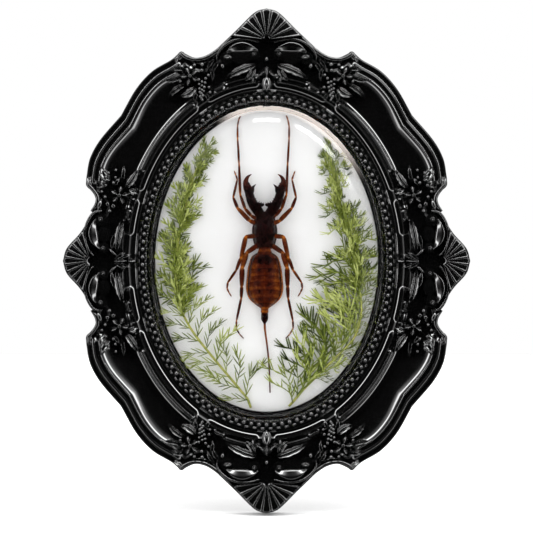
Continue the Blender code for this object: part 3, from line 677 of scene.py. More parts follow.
# %% [markdown]
# Leaves, petals, buds and berries fill the spaces between the scrolls and the mouldings. One
# quarter is laid out, and the other three mirror it.

# %% Leaves, flowers and berries
def leaf(x0, z0, x1, z1, half_width, top=14.8, lobes=0, bend=0.0, steps=14, section=VEINED):
    """A leaf from its root to its tip, swelling in the middle."""
    line = []
    for t, width, drop in ((0.0, 0.35, 0.5), (0.3, 0.95, 0.0), (0.65, 0.85, 0.2), (1.0, 0.12, 1.3)):
        aside = bend * 4 * t * (1 - t)
        line.append(((1 - t) * x0 + t * x1 - (z1 - z0) * aside, (1 - t) * z0 + t * z1 + (x1 - x0) * aside,
                     width * half_width, top - drop))
    return ribbon(line, section, steps, lobes)


def flower(x, z, radius, top, first_turn):
    """Five cupped petals round a dimpled boss."""
    parts = [boss(x, z, radius * 0.27, top + 0.3, 10, dimple=0.3)]
    for petal in range(5):
        a = first_turn + math.tau * petal / 5
        line = [(x + math.cos(a) * r, z + math.sin(a) * r, w, top - drop)
                for r, w, drop in ((radius * 0.3, 0.35, 0.4), (radius * 0.62, radius * 0.3, 0.0),
                                   (radius * 0.88, radius * 0.29, 0.1), (radius * 1.06, radius * 0.12, 0.7))]
        parts.append(ribbon(line, DISH, 9))
    return parts


def grapes(start, end, half_width, top, count, seed):
    """A bunch of small berries that narrows to its tip."""
    rng = random.Random(seed)
    parts = []
    for i in range(count):
        t = (i + 0.5) / count
        aside = half_width * (1 - 0.75 * t) * (-0.8, 0.75, -0.05)[i % 3]
        x = start[0] + (end[0] - start[0]) * t + aside
        z = start[1] + (end[1] - start[1]) * t + rng.uniform(-0.15, 0.15)
        parts.append(boss(x, z, rng.uniform(0.62, 0.8), top - 0.5 * t + rng.uniform(-0.2, 0.25)))
    return parts


# Leaves as (x and z of the root, x and z of the tip, half width, top, lobes, bend, steps, section).
LEAVES = [
    (4.5, 80.7, 17, 75.2, 1.9, 15, 4, 0.04, 22), (5, 79.6, 8.9, 74.4, 1.5, 14.6, 2, -0.08, 16),
    (19.6, 82, 22.4, 77.2, 0.9, 14.2, 0, 0.1), (21.6, 83, 24.4, 78.6, 0.8, 14, 0, 0.1),
    (23.2, 79.2, 22.4, 74.2, 0.8, 14, 0, -0.1), (33.8, 79, 39.6, 78.4, 1.2, 13.6, 2, 0.12),
    (35, 76.2, 42.6, 74.8, 1.2, 13.2, 3, -0.1), (33.6, 72.8, 40.6, 67.2, 1.4, 13.8, 3, 0.08, 18),
    (29.4, 71.6, 35.4, 68, 1.9, 14.4, 3, -0.12, 18), (28.6, 69.4, 29.4, 65.2, 0.9, 14, 0, 0.1),
    (25, 68.8, 24.2, 65.6, 0.8, 13.8, 0, -0.1), (59.4, 16.6, 61.9, 3.4, 1.75, 15, 5, 0.03, 24),
    (62.2, 11.4, 63.9, 4.4, 1, 14.6, 3, 0.06, 16), (58, 30.2, 53.2, 37.4, 1.75, 14.8, 4, 0.04, 20),
    (64.8, 33.2, 68.4, 39, 2.1, 14, 0, -0.1, 16, DISH), (59.9, 32.4, 59, 39.2, 0.9, 13.8, 2, 0.05),
    (62.8, 31.2, 60.6, 34.2, 0.8, 13.6), (56.6, 29.2, 53.2, 27.6, 1.5, 14.4, 0, 0, 14, DISH),
    (69.6, 21.4, 68, 25.8, 1, 13.8, 0, 0, 14, ROLL), (59, 3.2, 62.6, 0.9, 0.8, 14.2),
    (57.4, 2.4, 61, 0.6, 0.6, 14), (61.8, 2, 65.8, 5.6, 0.5, 13.6, 0, 0, 14, ROLL),
]
# Berries as (x, z, radius, top, points around, stretch, turn, dimple).
BERRIES = [
    (66.8, 37.2, 0.75, 14.6), (65.2, 36.2, 0.75, 14.6), (66.2, 34.6, 0.75, 14.6), (62.2, 37.4, 0.7, 13.8),
    (62.4, 34.4, 0.7, 13.8), (63.2, 32.2, 0.8, 13.8), (66.4, 31.2, 0.7, 13.4),
    (65.6, 23.4, 1, 14.2, 10, 1, 0, 0.2), (63.2, 22.6, 1, 14.2, 10, 1, 0, 0.2), (66.6, 26.4, 0.8, 13.8),
    (64.8, 20.6, 0.9, 14), (68, 28.6, 0.7, 13.4), (26.6, 81, 1, 13.9, 10), (26.8, 78.6, 0.9, 13.9, 10),
    (24, 76.6, 0.8, 13.9), (23.8, 71.6, 0.8, 13.9), (23.4, 69.6, 0.7, 13.8), (37.8, 71.6, 0.7, 13.4),
    (35.6, 74, 0.7, 13.8), (29.8, 80.8, 0.8, 13.6),
]
quarter_parts = [leaf(*row) for row in LEAVES] + [boss(*row) for row in BERRIES]
quarter_parts += flower(60.7, 27.0, 3.4, 14.8, 0.5) + flower(31.6, 76.2, 3.5, 14.6, 1.2)
quarter_parts += grapes((26.6, 75.4), (26.9, 66.2), 1.9, 14.9, 16, 5)
ornament("leaves_and_flowers", four_times(quarter_parts))

# %% [markdown]
# On the frame's two axes a bud hangs from each fan towards the oval: a long one of three lobes at
# top and bottom, and a small palmette of spread leaflets at the sides.

# %% Buds and palmettes on the axes
LONG_BUD = [(0, 75.6, 1, 15), (0, 74.2, 1.9, 15.5), (0, 72.2, 2, 15.5), (0, 70.6, 1.3, 15), (0, 70, 0.4, 14.2)]
STALK = [(0, 80.2, 0.3, 14.6), (0, 78.6, 1.1, 15.2), (0, 76.8, 0.9, 15.2), (0, 75.6, 0.3, 14.8)]
bud_parts = [boss(0, 83.2, 0.8, 14.4, 12, 1.3, 1.57), ribbon(LONG_BUD, DISH, 20),
             boss(0, 72.4, 0.7, 15.5, 12, 1.3, 1.57), ribbon(STALK, DISH, 14)]
palmette_parts = [leaf(62.8, 0, 57.6, 0, 0.9, 15, section=DISH),
                  leaf(56.9, 0, 54, 0, 1.1, 14.6, section=DISH)]
for sign in (1, -1):
    bud_parts += [leaf(0.5 * sign, 79.8, 4 * sign, 76, 1, 15, bend=-0.12 * sign, section=DISH),
                  leaf(5.6 * sign, 76.8, 5.7 * sign, 73.2, 1.1, 14.5, section=DISH)]
    palmette_parts += [leaf(62.6, 0.6 * sign, 58.2, 3.4 * sign, 0.7),
                       leaf(60.2, 1.2 * sign, 56, 2.8 * sign, 0.6, 14.4)]
ornament("buds_and_palmettes", [mirrored(part, 1, s) for part in bud_parts for s in (1, -1)]
         + [mirrored(part, s, 1) for part in palmette_parts for s in (1, -1)])


# %% [markdown]
# The bead course is 118 round beads on the oval, with a finer rope inside it: small beads in the
# gaps, and a long grain beside each bead. A row that follows a path is what Geometry Nodes are
# for: an oval curve is cut into even steps, a bead is set on each, and the copies are made real.
# All three rows use one tree with other sizes.

# %% Bead course
def new_tree(name, inputs):
    """A Geometry Nodes tree with (name, kind) inputs, as (tree, what the inputs give)."""
    made = bpy.data.node_groups.new(name, "GeometryNodeTree")
    made.interface.new_socket("Geometry", in_out="OUTPUT", socket_type="NodeSocketGeometry")
    for label, kind in inputs:
        made.interface.new_socket(label, in_out="INPUT", socket_type="NodeSocket" + kind)
    return made, node(made, "NodeGroupInput").outputs


def finish_tree(made, geometry, material):
    """The last steps of a tree: its finish and its way out."""
    dressed = node(made, "GeometryNodeSetMaterial", {"Geometry": geometry, "Material": material})
    node(made, "NodeGroupOutput", {"Geometry": dressed.outputs["Geometry"]})


def facing_out(tree, along, axis):
    """A rotation that lays one axis along a path and turns Y out of the frame."""
    laid = node(tree, "FunctionNodeAlignRotationToVector", {"Vector": along}, axis=axis)
    return node(tree, "FunctionNodeAlignRotationToVector",
                {"Vector": (0, -1, 0), "Rotation": laid.outputs["Rotation"]},
                axis="Y", pivot_axis=axis).outputs["Rotation"]


def applied(holder, tree, values, name):
    """Runs a tree on an object, its inputs set by their sockets' identifiers, and makes the result plain."""
    grown = holder.modifiers.new(name, "NODES")
    grown.node_group = tree
    for item in tree.interface.items_tree:
        if item.item_type == "SOCKET" and item.in_out == "INPUT" and item.name in values:
            grown[item.identifier] = values[item.name]
    return made_plain(holder, name)


def bead_tree(material):
    """An oval curve resampled to a count, with a squat round bead on each point."""
    made, given = new_tree("bead_course", (("Oval", "Geometry"), ("Beads", "Int"), ("Radius", "Float"),
                                           ("Length", "Float"), ("Height", "Float")))
    even = node(made, "GeometryNodeResampleCurve", {"Curve": given["Oval"], "Count": given["Beads"]})
    bead = node(made, "GeometryNodeMeshIcoSphere", {"Subdivisions": 2, "Radius": given["Radius"]})
    shape = node(made, "ShaderNodeCombineXYZ", {"X": given["Length"], "Y": given["Height"], "Z": 1.0})
    turned = facing_out(made, node(made, "GeometryNodeInputTangent").outputs["Tangent"], "X")
    set_on = node(made, "GeometryNodeInstanceOnPoints", {"Points": even.outputs["Curve"], "Rotation": turned,
                                                         "Instance": bead.outputs["Mesh"],
                                                         "Scale": shape.outputs["Vector"]})
    real = node(made, "GeometryNodeRealizeInstances", {"Geometry": set_on.outputs["Instances"]})
    smooth = node(made, "GeometryNodeSetShadeSmooth", {"Geometry": real.outputs["Geometry"]})
    finish_tree(made, smooth.outputs["Geometry"], material)
    return made


BEADS = 118


def bead_line(offset, height, first, count=944):
    """A closed line along an offset of the bead oval, spaced evenly, from a share of one bead's pitch on."""
    fine = oval_at(np.linspace(0, math.tau, 4001), offset)
    run = run_length(fine)
    even = (np.linspace(0, run[-1], count, endpoint=False) + first * run[-1] / BEADS) % run[-1]
    x, z = np.interp(even, run, fine[:, 0]), np.interp(even, run, fine[:, 1])
    return np.column_stack((x, z, np.full(count, height)))


beads_tree = bead_tree(black_lacquer)
for name, offset, height, first, radius, stretch, tall in (("bead_course", 0.0, 12.4, 0.0, 1.04, 1.0, 1.2),
                                                           ("inner_beads", -1.15, 11.9, 0.5, 0.45, 1.2, 1.2),
                                                           ("rope_edge", -1.4, 11.6, 0.0, 0.46, 2.2, 1.5)):
    beads = applied(drawn_curve(bead_line(offset, height, first), closed=True), beads_tree,
                    {"Beads": BEADS, "Radius": radius * MM, "Length": stretch, "Height": tall}, name)
    dress(beads, "frame")


# %% [markdown]
# The cover is clear acrylic, pressed to a shallow dome: a steep rim that bends over to a nearly
# flat crown. It is modelled with its real wall, an outer and an inner face, so light bends in and
# out of it as it does in the real one. Acrylic has an IOR of 1.49 and hardly any colour, and
# pressing leaves slow waves in it.

# %% Clear acrylic dome
clear_acrylic, tree, shader = new_material("clear_pressed_acrylic")
feed(tree, shader, {"Base Color": linear("#FEFEFE"), "Transmission Weight": 1.0, "IOR": 1.49,
                    "Roughness": 0.0, "Normal": bump(tree, noise(tree, 70.0, 1.0), 0.03, 0.0004)})

DOME_OUTER = np.array((49.3, 65.7))
DOME_WALL = 1.6
DOME_FOOT = 7.8
DOME_CROWN = 24.0
# The dome's section as (share of the reach, share of the rise).
DOME_SECTION = [(1.0, 0.0), (0.9995, 0.10), (0.998, 0.20), (0.994, 0.29), (0.983, 0.36), (0.962, 0.435),
                (0.937, 0.505), (0.90, 0.59), (0.86, 0.665), (0.80, 0.755), (0.72, 0.838), (0.62, 0.903),
                (0.50, 0.951), (0.36, 0.982), (0.20, 0.996), (0.08, 1.0)]
DOME_SIDES = 160


def dome_face(half_sizes, crown):
    """Rings of the dome from the foot to near the crown, evenly spaced along the section."""
    turns = np.arange(DOME_SIDES) / DOME_SIDES * math.tau
    return [np.column_stack((half_sizes[0] * out * np.sin(turns), half_sizes[1] * out * np.cos(turns),
                             np.full(DOME_SIDES, DOME_FOOT + (crown - DOME_FOOT) * up)))
            for out, up in curve_through(DOME_SECTION, 44)]


dome_rows = dome_face(DOME_OUTER, DOME_CROWN)[::-1]
dome_rows += dome_face(DOME_OUTER - DOME_WALL, DOME_CROWN - DOME_WALL)
dress(build("domed_cover", [(np.vstack(dome_rows), capped(len(dome_rows), DOME_SIDES))], clear_acrylic, 60.0),
      "dome_glass")


# %% [markdown]
# The panel is white coated card and the back board is black-stained fibreboard. Their solids have
# the right shape already, so they keep it and only their finish changes.

# %% Card and board
white_card, tree, shader = new_material("coated_white_card")
pulp = noise(tree, 1500.0, 5.0)
tone = calc(tree, "ADD", calc(tree, "MULTIPLY", pulp, 0.5), noise(tree, 30.0, 2.0))
feed(tree, shader, {"Base Color": ramp(tree, tone, [(0.5, "#F1F1F1"), (1.0, "#F7F7F7")]), "Roughness": 0.55,
                    "Normal": bump(tree, pulp, 0.15, 0.00003)})

black_board, tree, shader = new_material("black_stained_fibreboard")
fibre = noise(tree, 700.0, 6.0, 0.7)
feed(tree, shader, {"Base Color": ramp(tree, fibre, [(0.3, "#141312"), (0.7, "#24221F")]),
                    "Roughness": ramp(tree, fibre, [(0.3, 0.9), (0.7, 0.7)]),
                    "Normal": bump(tree, fibre, 0.4, 0.0001)})

for solid, material in (("white_panel", white_card), ("back_board", black_board)):
    for slot_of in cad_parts[solid].material_slots:
        slot_of.material = material
    print(solid, "is", material.name)


# %% [markdown]
# The animal is a dried whip scorpion. Its shell is chitin: a hard, waxy skin, nearly black where
# it is thick and amber where light gets through it, at the joints and along the abdomen's
# sides. Each point of the mesh carries a number, amber, that says how thin the shell is there, and
# the finish turns it to colour, with a little mottling so that no two plates match.

# %% Dried chitin
dried_chitin, tree, shader = new_material("dried_glossy_chitin")
thin = node(tree, "ShaderNodeAttribute", attribute_name="amber").outputs["Fac"]
mottle = noise(tree, 760.0, 5.0, 0.7)
uneven = calc(tree, "ADD", calc(tree, "MULTIPLY_ADD", mottle, 0.7, -0.35),
              calc(tree, "MULTIPLY_ADD", noise(tree, 260.0, 2.0), 0.6, -0.3))
uneven = calc(tree, "MULTIPLY", uneven, calc(tree, "MULTIPLY_ADD", thin, 0.9, 0.25))
dents = calc(tree, "ADD", noise(tree, 2400.0, 2.0), mottle)
feed(tree, shader, {
    "Base Color": ramp(tree, calc(tree, "ADD", thin, uneven),
                       [(0.0, "#090101"), (0.2, "#230302"), (0.4, "#4A1704"), (0.6, "#80400C"),
                        (0.8, "#B4651C"), (1.0, "#D89845")], smooth=False),
    "Roughness": ramp(tree, mottle, [(0.3, 0.2), (0.7, 0.36)]), "Normal": bump(tree, dents, 0.35, 0.00008),
    "IOR": 1.56, "Specular IOR Level": 0.05, "Coat Weight": 0.38, "Coat Roughness": 0.05,
})

# %% [markdown]
# Every part of the animal is a tube of rings: limbs are round rings along a path of joints, and
# the two body halves are lofted from widths measured along the long axis. A limb's shell is
# slimmer and more amber at each joint, so a short helper adds those places to each segment.

# %% Helpers for shells
BODY_X = -0.8
THINNEST_LIMB = 0.06


def ringed(rings, ambers):
    """A closed tube through rings of equal counts, as (points, faces, amber of each point)."""
    rings = np.array(rings)
    return rings.reshape(-1, 3), capped(*rings.shape[:2]), np.asarray(ambers, float).reshape(-1)


def tube(path, sides=10, flat=1.0, steps=None):
    """A round tube through (x, z, height, radius, amber) points, along a smooth curve if steps are given."""
    line = curve_through(path, steps) if steps else np.array(path, float)
    line[:, 3] = np.maximum(line[:, 3], THINNEST_LIMB)
    along = np.gradient(line[:, :3], axis=0)
    along /= np.maximum(np.linalg.norm(along, axis=1), 1e-9)[:, None]
    turns = (np.arange(sides) / sides * math.tau)[:, None]
    rings = []
    for (x, z, height, radius, _), (ax, az, ah) in zip(line, along):
        across = np.array((az, -ax, 0.0))
        across /= max(np.linalg.norm(across), 1e-9)
        up = np.cross(across, (ax, az, ah))
        up /= max(np.linalg.norm(up), 1e-9)
        rings.append(np.array((x, z, height)) + radius * (np.cos(turns) * across + flat * np.sin(turns) * up))
    return ringed(rings, np.repeat(line[:, 4], sides))


# Along a piece of a limb: how far, how slim, and how much paler.
JOINT_SHAPE = [(0.02, 0.66, 0.32), (0.12, 0.9, 0.06), (0.35, 1.0, 0.0), (0.7, 0.92, 0.0), (0.9, 0.8, 0.1),
               (0.98, 0.62, 0.34)]


def jointed(joints):
    """A limb through (x, z, height, radius, amber) joints, pinched and amber at each joint."""
    path = []
    for (x0, z0, h0, r0, a0), (x1, z1, h1, r1, _) in zip(joints, joints[1:]):
        for t, slim, pale in JOINT_SHAPE:
            path.append((x0 + (x1 - x0) * t, z0 + (z1 - z0) * t, h0 + (h1 - h0) * t,
                         (r0 + (r1 - r0) * t * 0.6) * slim, a0 + pale))
    x, z, height, _, amber = joints[-1]
    return tube(path + [(x, z, height, 0.1, amber + 0.3)])


def other_side(path, axis=BODY_X):
    return [(2 * axis - x, *rest) for x, *rest in path]


def build_shell(name, bodies):
    """One object from ringed bodies, with the amber number on its points."""
    made = build(name, [(points, faces) for points, faces, _ in bodies], dried_chitin, 48)
    field = made.data.attributes.new("amber", "FLOAT", "POINT")
    field.data.foreach_set("value", np.concatenate([amber for _, _, amber in bodies]))
    return dress(made, "whip_scorpion")


def hill(*away):
    """1 at a place, falling off smoothly with how many widths away one is, in one or two directions."""
    return math.exp(-sum(a ** 2 for a in away))


# %% [markdown]
# The carapace is one shield: narrow in front, widest behind its middle, with a furrow along it and
# low eye mounds near the front. The abdomen has eight plates, and each laps over the next, so
# its height rises slowly and then drops at each plate's rear edge. A pale soft rim runs round it.

# %% Carapace and abdomen
def shield(stations, low, amber_at, lift_at, step=0.25):
    """A body along z from (z, half width, rim height, crown) stations, with a round top and a flat belly."""
    stations = np.array(stations)[::-1]
    smooth = curve_through(stations, 200)
    smooth = smooth[np.argsort(smooth[:, 0])]
    rings, ambers = [], []
    for z in np.arange(stations[0, 0], stations[-1, 0] + 1e-6, step):
        half_width, rim, crown = (np.interp(z, smooth[:, 0], smooth[:, i]) for i in (1, 2, 3))
        ring = [(out, rim + (crown - rim) * up + lift_at(z, out)) for out, up in ROUND_TOP]
        ring += [(out, low + (rim - low) * (0.35 if abs(out) > 0.5 else 0)) for out in (0.8, 0.3, -0.3, -0.8)]
        rings.append([(BODY_X + half_width * out, z, height) for out, height in ring])
        ambers.append([amber_at(z, out) for out, _ in ring])
    return ringed(rings, ambers)


CARAPACE = [(20.7, 2.2, 8.4, 9.6), (20.2, 3.3, 8.4, 10.6), (19, 4, 8.3, 11.6), (17.2, 4.4, 8.2, 12.3),
            (15, 4.9, 8, 12.8), (12.9, 5.3, 7.9, 13), (10.2, 5.15, 7.9, 12.9), (7.6, 4.6, 7.9, 12.4),
            (6, 4, 8, 11.6), (5, 3.2, 8.2, 10.4)]
ROUND_TOP = both_sides([(0, 0.975), (0.05, 0.985), (0.14, 0.99), (0.32, 0.94), (0.5, 0.83), (0.66, 0.66),
                        (0.8, 0.42), (0.88, 0.2), (0.94, 0.2), (0.99, 0.08), (1, -0.15)])


def carapace_lift(z, share_out):
    furrow = -0.45 * hill(share_out / 0.1, (z - 9.0) / 3.6)
    folds = 0.16 * math.cos(abs(share_out) * 9 + z * 0.9) * hill((z - 10) / 6)
    eyes = 0.5 * hill(share_out * 4.4 / 0.55, (z - 18.6) / 0.7)
    side_eyes = 0.5 * hill((abs(share_out) * 4.5 - 3.1) / 0.5, (z - 17.2) / 0.8)
    return furrow + folds + eyes + side_eyes


def carapace_amber(z, share_out):
    return 0.08 + 0.24 * max(0.0, abs(share_out) - 0.75) + (0.25 if z < 5.6 else 0.0)


ABDOMEN = [(3.4, 3, 8, 9.8), (2.6, 4.4, 7.9, 10.8), (1.2, 5.7, 7.7, 11.4), (-2.6, 6.9, 7.5, 11.9),
           (-6.4, 7.4, 7.4, 12.2), (-11.5, 7.75, 7.4, 12.1), (-15.3, 6.7, 7.5, 11.5), (-17.8, 4.3, 7.7, 10.8),
           (-19.2, 2.4, 7.8, 10), (-19.7, 1.7, 7.9, 9.5)]
PLATE_ENDS = [3.6, 1.2, -3.4, -6.4, -8.9, -12.2, -15.5, -17.8, -20.5]


def plate_share(z):
    """How far along its own plate a place lies, from 0 at the front to 1 at the rear edge."""
    for front, rear in zip(PLATE_ENDS, PLATE_ENDS[1:]):
        if rear <= z <= front:
            return (front - z) / (front - rear)
    return 0.0


def abdomen_lift(z, share_out):
    share = plate_share(z)
    lap = 0.16 * share ** 3 - 0.08 if abs(share_out) < 0.9 else 0.0
    return lap - 0.25 * hill((abs(share_out) - 0.42) / 0.06, (share - 0.4) / 0.18)


def abdomen_amber(z, share_out):
    """Pale flanks and rim, a dark front, and on each plate a seam, three columns of spots and a pale row."""
    out = abs(share_out)
    share = plate_share(z + 0.9 * out ** 2 - 0.4)
    amber = 0.33 + 0.16 * hill((out - 0.66) / 0.2) + (0.4 if out > 0.93 else 0.0)
    amber += 0.07 * hill((share - 0.72) / 0.2) - 0.12 * hill((share - 0.02) / 0.1)
    for dark, column, width, row, length in ((0.16, 0.36, 0.12, 0.3, 0.2), (0.12, 0.72, 0.07, 0.35, 0.2),
                                             (0.09, 0.13, 0.06, 0.55, 0.16)):
        amber -= dark * hill((out - column) / width, (share - row) / length)
    amber -= 0.26 * hill((z - 2.0) / 4.2) * (1 - 0.6 * out)
    return max(0.0, amber + 0.06 * hill(share_out / 0.04) - 0.24 * hill((out - 0.88) / 0.04))


# The narrow waist and the rings behind the abdomen lie on the body's axis, as (z, height, radius, amber).
WAIST = [(6, 8.6, 2.6, 0.3), (4.9, 8.7, 2.5, 0.35), (4.5, 8.7, 2.6, 0.52), (3.9, 8.7, 2.8, 0.48),
         (3.6, 8.7, 3, 0.3), (2.6, 8.7, 3, 0.3)]
TAIL_RINGS = [(-18.6, 8.4, 1.6, 0.5), (-19.9, 8.4, 1.66, 0.62), (-20.4, 8.4, 1.5, 0.35),
              (-20.6, 8.4, 1.62, 0.66), (-21.3, 8.4, 1.6, 0.56), (-21.6, 8.3, 1.35, 0.2),
              (-22, 8.3, 1.45, 0.15), (-23.6, 8.2, 1.5, 0.14), (-24.6, 8.1, 1.3, 0.15),
              (-25.4, 8, 0.8, 0.2), (-26, 7.9, 0.45, 0.25)]
build_shell("carapace_and_abdomen", [
    shield(CARAPACE, 6.6, carapace_amber, carapace_lift),
    shield(ABDOMEN, 6.2, abdomen_amber, abdomen_lift, 0.2),
    tube([(BODY_X, *row) for row in WAIST], 20, 0.8),
    tube([(BODY_X, *row) for row in TAIL_RINGS], 18),
])

# %% [markdown]
# A pincer is a stout arm that curls round to a hooked claw, with a short thumb against it. Between
# the pincers toothed plates close the front. All are smooth tubes, and the teeth are small cones.

# %% Pincers
PINCER = [(-2.8, 18.8, 9.3, 1.7, 0.1), (-4, 21, 9.6, 2, 0.05), (-5.3, 23, 9.8, 2.1, 0.04),
          (-6.3, 24.9, 9.8, 1.95, 0.04), (-6.9, 26.8, 9.8, 1.8, 0.03), (-7.3, 28.6, 9.8, 1.8, 0.04),
          (-7.9, 30.3, 9.7, 1.75, 0.16), (-8.45, 31.8, 9.6, 1.35, 0.28), (-8.5, 33.2, 9.5, 0.98, 0.34),
          (-7.9, 34.5, 9.4, 0.68, 0.34), (-7.1, 35.3, 9.3, 0.4, 0.34), (-6.2, 35.8, 9.2, 0.12, 0.4)]
THUMB = [(-6.6, 28, 9.8, 1.2, 0.04), (-6, 29.4, 9.8, 1, 0.06), (-5.6, 30.4, 9.7, 0.62, 0.1),
         (-5, 31.1, 9.6, 0.34, 0.14), (-4.4, 31.7, 9.5, 0.1, 0.18)]
# The jagged plates that close the front, and the teeth on them and on the fingers.
FRONT_PLATE = [(-5.4, 22.4, 9.6, 1.6, 0.05), (-3.9, 22.9, 9.8, 1.3, 0.04), (-2.5, 23.1, 9.8, 0.95, 0.04),
               (-1.5, 23.2, 9.7, 0.6, 0.05), (-1, 23.3, 9.6, 0.3, 0.06)]
TEETH = [((-5.4, 25), (-4.3, 25.9), 0.5), ((-4.5, 23.8), (-3.9, 25), 0.45), ((-3.4, 23.6), (-3, 24.7), 0.4),
         ((-2.4, 23.5), (-2.1, 24.4), 0.36), ((-1.5, 23.3), (-1.3, 24.1), 0.3),
         ((-5.9, 26.4), (-5, 27), 0.42), ((-7.6, 32.2), (-6.8, 32), 0.3), ((-6, 30), (-5.2, 29.7), 0.35)]
INNER_PALP = [(-1.6, 18.4, 9.3, 1.4, 0.08), (-2.5, 20, 9.5, 1.5, 0.06), (-3.6, 21.8, 9.7, 1.5, 0.05),
              (-4.6, 23.4, 9.7, 1, 0.05)]
pincer_bodies = []
for turned in (list, other_side):
    pincer_bodies += [tube(turned(path), sides, flat, steps)
                      for path, sides, flat, steps in ((PINCER, 18, 1.0, 60), (THUMB, 14, 1.0, 24),
                                                       (FRONT_PLATE, 14, 0.9, 24), (INNER_PALP, 14, 1.0, 18))]
    pincer_bodies += [tube(turned([(*root, 9.7, radius, 0.06), (*tip, 9.7, 0.1, 0.2)]), 8)
                      for root, tip, radius in TEETH]
build_shell("pincers", pincer_bodies)

# %% [markdown]
# The first legs are feelers, long and thin. The three pairs behind them rise from the body, bend at
# the knee and come down to the panel. The whip is one thin thread of many rings, slightly curved.

# %% Feelers, legs and whip
FEELER = [(-4.6, 17.6, 8.6, 0.75, 0.38), (-6.4, 18.7, 8.8, 0.75, 0.38), (-8.9, 21.6, 9, 0.7, 0.36),
          (-10.9, 27.4, 8.8, 0.62, 0.34), (-11.4, 40.2, 7.8, 0.5, 0.38), (-12, 50.8, 7.2, 0.44, 0.42),
          (-12, 56, 6.8, 0.38, 0.46), (-11.5, 58.4, 6.6, 0.34, 0.48), (-10.8, 60.2, 6.4, 0.28, 0.5)]
LEG_2 = [(-4.2, 15.4, 8.6, 0.95, 0.4), (-7, 16.6, 9.2, 1.05, 0.38), (-12, 21.8, 10.2, 0.78, 0.34),
         (-13.8, 26.3, 9.4, 0.55, 0.38), (-12.1, 33.8, 7.4, 0.42, 0.46), (-12.8, 35.7, 6.8, 0.34, 0.5),
         (-13.4, 37.3, 6.4, 0.2, 0.53)]
LEG_3 = [(-4.4, 10.4, 8.6, 1, 0.4), (-8.6, 9.9, 10, 1.12, 0.42), (-10.6, 1.2, 10.4, 0.82, 0.36),
         (-12.6, -3.9, 9.4, 0.62, 0.38), (-16.1, -9, 7.8, 0.5, 0.44), (-16.4, -11.4, 7.2, 0.4, 0.48),
         (-15.6, -13.2, 6.7, 0.32, 0.5), (-14.6, -14.8, 6.3, 0.2, 0.53)]
LEG_4 = [(-3.6, 6.6, 8.6, 1.05, 0.36), (-8.2, 3.4, 9.8, 1.15, 0.4), (-10.1, -2.8, 10.4, 1.2, 0.34),
         (-10.3, -10.6, 9.2, 0.85, 0.32), (-10.5, -15.4, 8.6, 0.62, 0.34), (-12.5, -24.9, 7.2, 0.46, 0.4),
         (-12.6, -28, 6.9, 0.38, 0.44), (-11.2, -30.4, 6.6, 0.3, 0.46), (-9.5, -32.2, 6.3, 0.2, 0.49)]
WHIP = [(-0.8, -25.6, 8, 0.42, 0.4), (-0.72, -27.6, 7.7, 0.5, 0.6), (-0.55, -29.4, 7.5, 0.42, 0.55),
        (0.46, -37.2, 7, 0.38, 0.45), (1.1, -44.8, 6.8, 0.35, 0.42), (1.45, -54.6, 6.4, 0.28, 0.45)]
RIGHT_FEELER_AXIS = -1.35
limbs = [limb for path in (LEG_2, LEG_3, LEG_4) for limb in (path, other_side(path))]
limbs += [FEELER, other_side(FEELER, RIGHT_FEELER_AXIS)]
build_shell("legs_feelers_and_whip", [jointed(path) for path in limbs] + [tube(WHIP, 8, 1.0, 60)])

# %% [markdown]
# The sprigs are preserved asparagus fern: a yellow-green stem, side twigs, and on each twig
# whorls of soft flat needles, olive and bright at the tips. The green goes paler and yellower
# towards a needle's tip, and each twig differs a little in tint. Painted shade makes the needles
# that lie low in a sprig darker and those on top lighter.

# %% Preserved fern green
fern_green, tree, shader = new_material("preserved_fern_green")
tint = node(tree, "ShaderNodeAttribute", attribute_name="tint").outputs["Fac"]
blotch = noise(tree, 620.0, 3.0)
shade = calc(tree, "MULTIPLY_ADD", tint, 0.55, calc(tree, "MULTIPLY", blotch, 0.5))
feed(tree, shader, {"Base Color": ramp(tree, shade, [(0.14, "#172006"), (0.36, "#465514"), (0.58, "#808D37"),
                                                     (0.85, "#C2CA7C")], smooth=False),
                    "Roughness": ramp(tree, blotch, [(0.3, 0.45), (0.7, 0.65)]), "Specular IOR Level": 0.15})

fern_stem, tree, shader = new_material("dried_yellow_green_stem")
bark = noise(tree, 500.0, 3.0)
feed(tree, shader, {"Base Color": ramp(tree, bark, [(0.3, "#7F8A32"), (0.5, "#A3A64A"), (0.75, "#B7AE62")]),
                    "Normal": bump(tree, bark, 0.4, 0.0001), "Roughness": 0.55})


# %% [markdown]
# One twig is made for each kind: a short stalk with needles that lean to its tip. A
# needle is a three-sided blade of a few faces, because there are thousands. Geometry Nodes then
# set twigs along the stem, turned to the sides by chance but from a fixed seed.

# %% Twigs
NEEDLE_POINTS = 12


def blade(points, faces, root, direction, length, width, curl):
    """Adds one needle: three-sided, nearly even in width, blunt, curled towards +Z."""
    heading = Vector(direction).normalized()
    side_way = heading.cross(Vector((0.3, 0.9, 0.2))).normalized()
    third = heading.cross(side_way)
    start, at = len(points), Vector(root)
    for wide, piece in ((0.8, 0.4), (1.0, 0.3), (0.95, 0.3), (0.45, 0.0)):
        points += [at + (side_way * math.cos(a) + third * math.sin(a)) * width * wide
                   for a in (0.0, math.tau / 3, math.tau * 2 / 3)]
        heading = (heading + Vector((0, 0, curl))).normalized()
        at = at + heading * length * piece
    faces += [tuple(start + i for i in face) for face in capped(4, 3)]


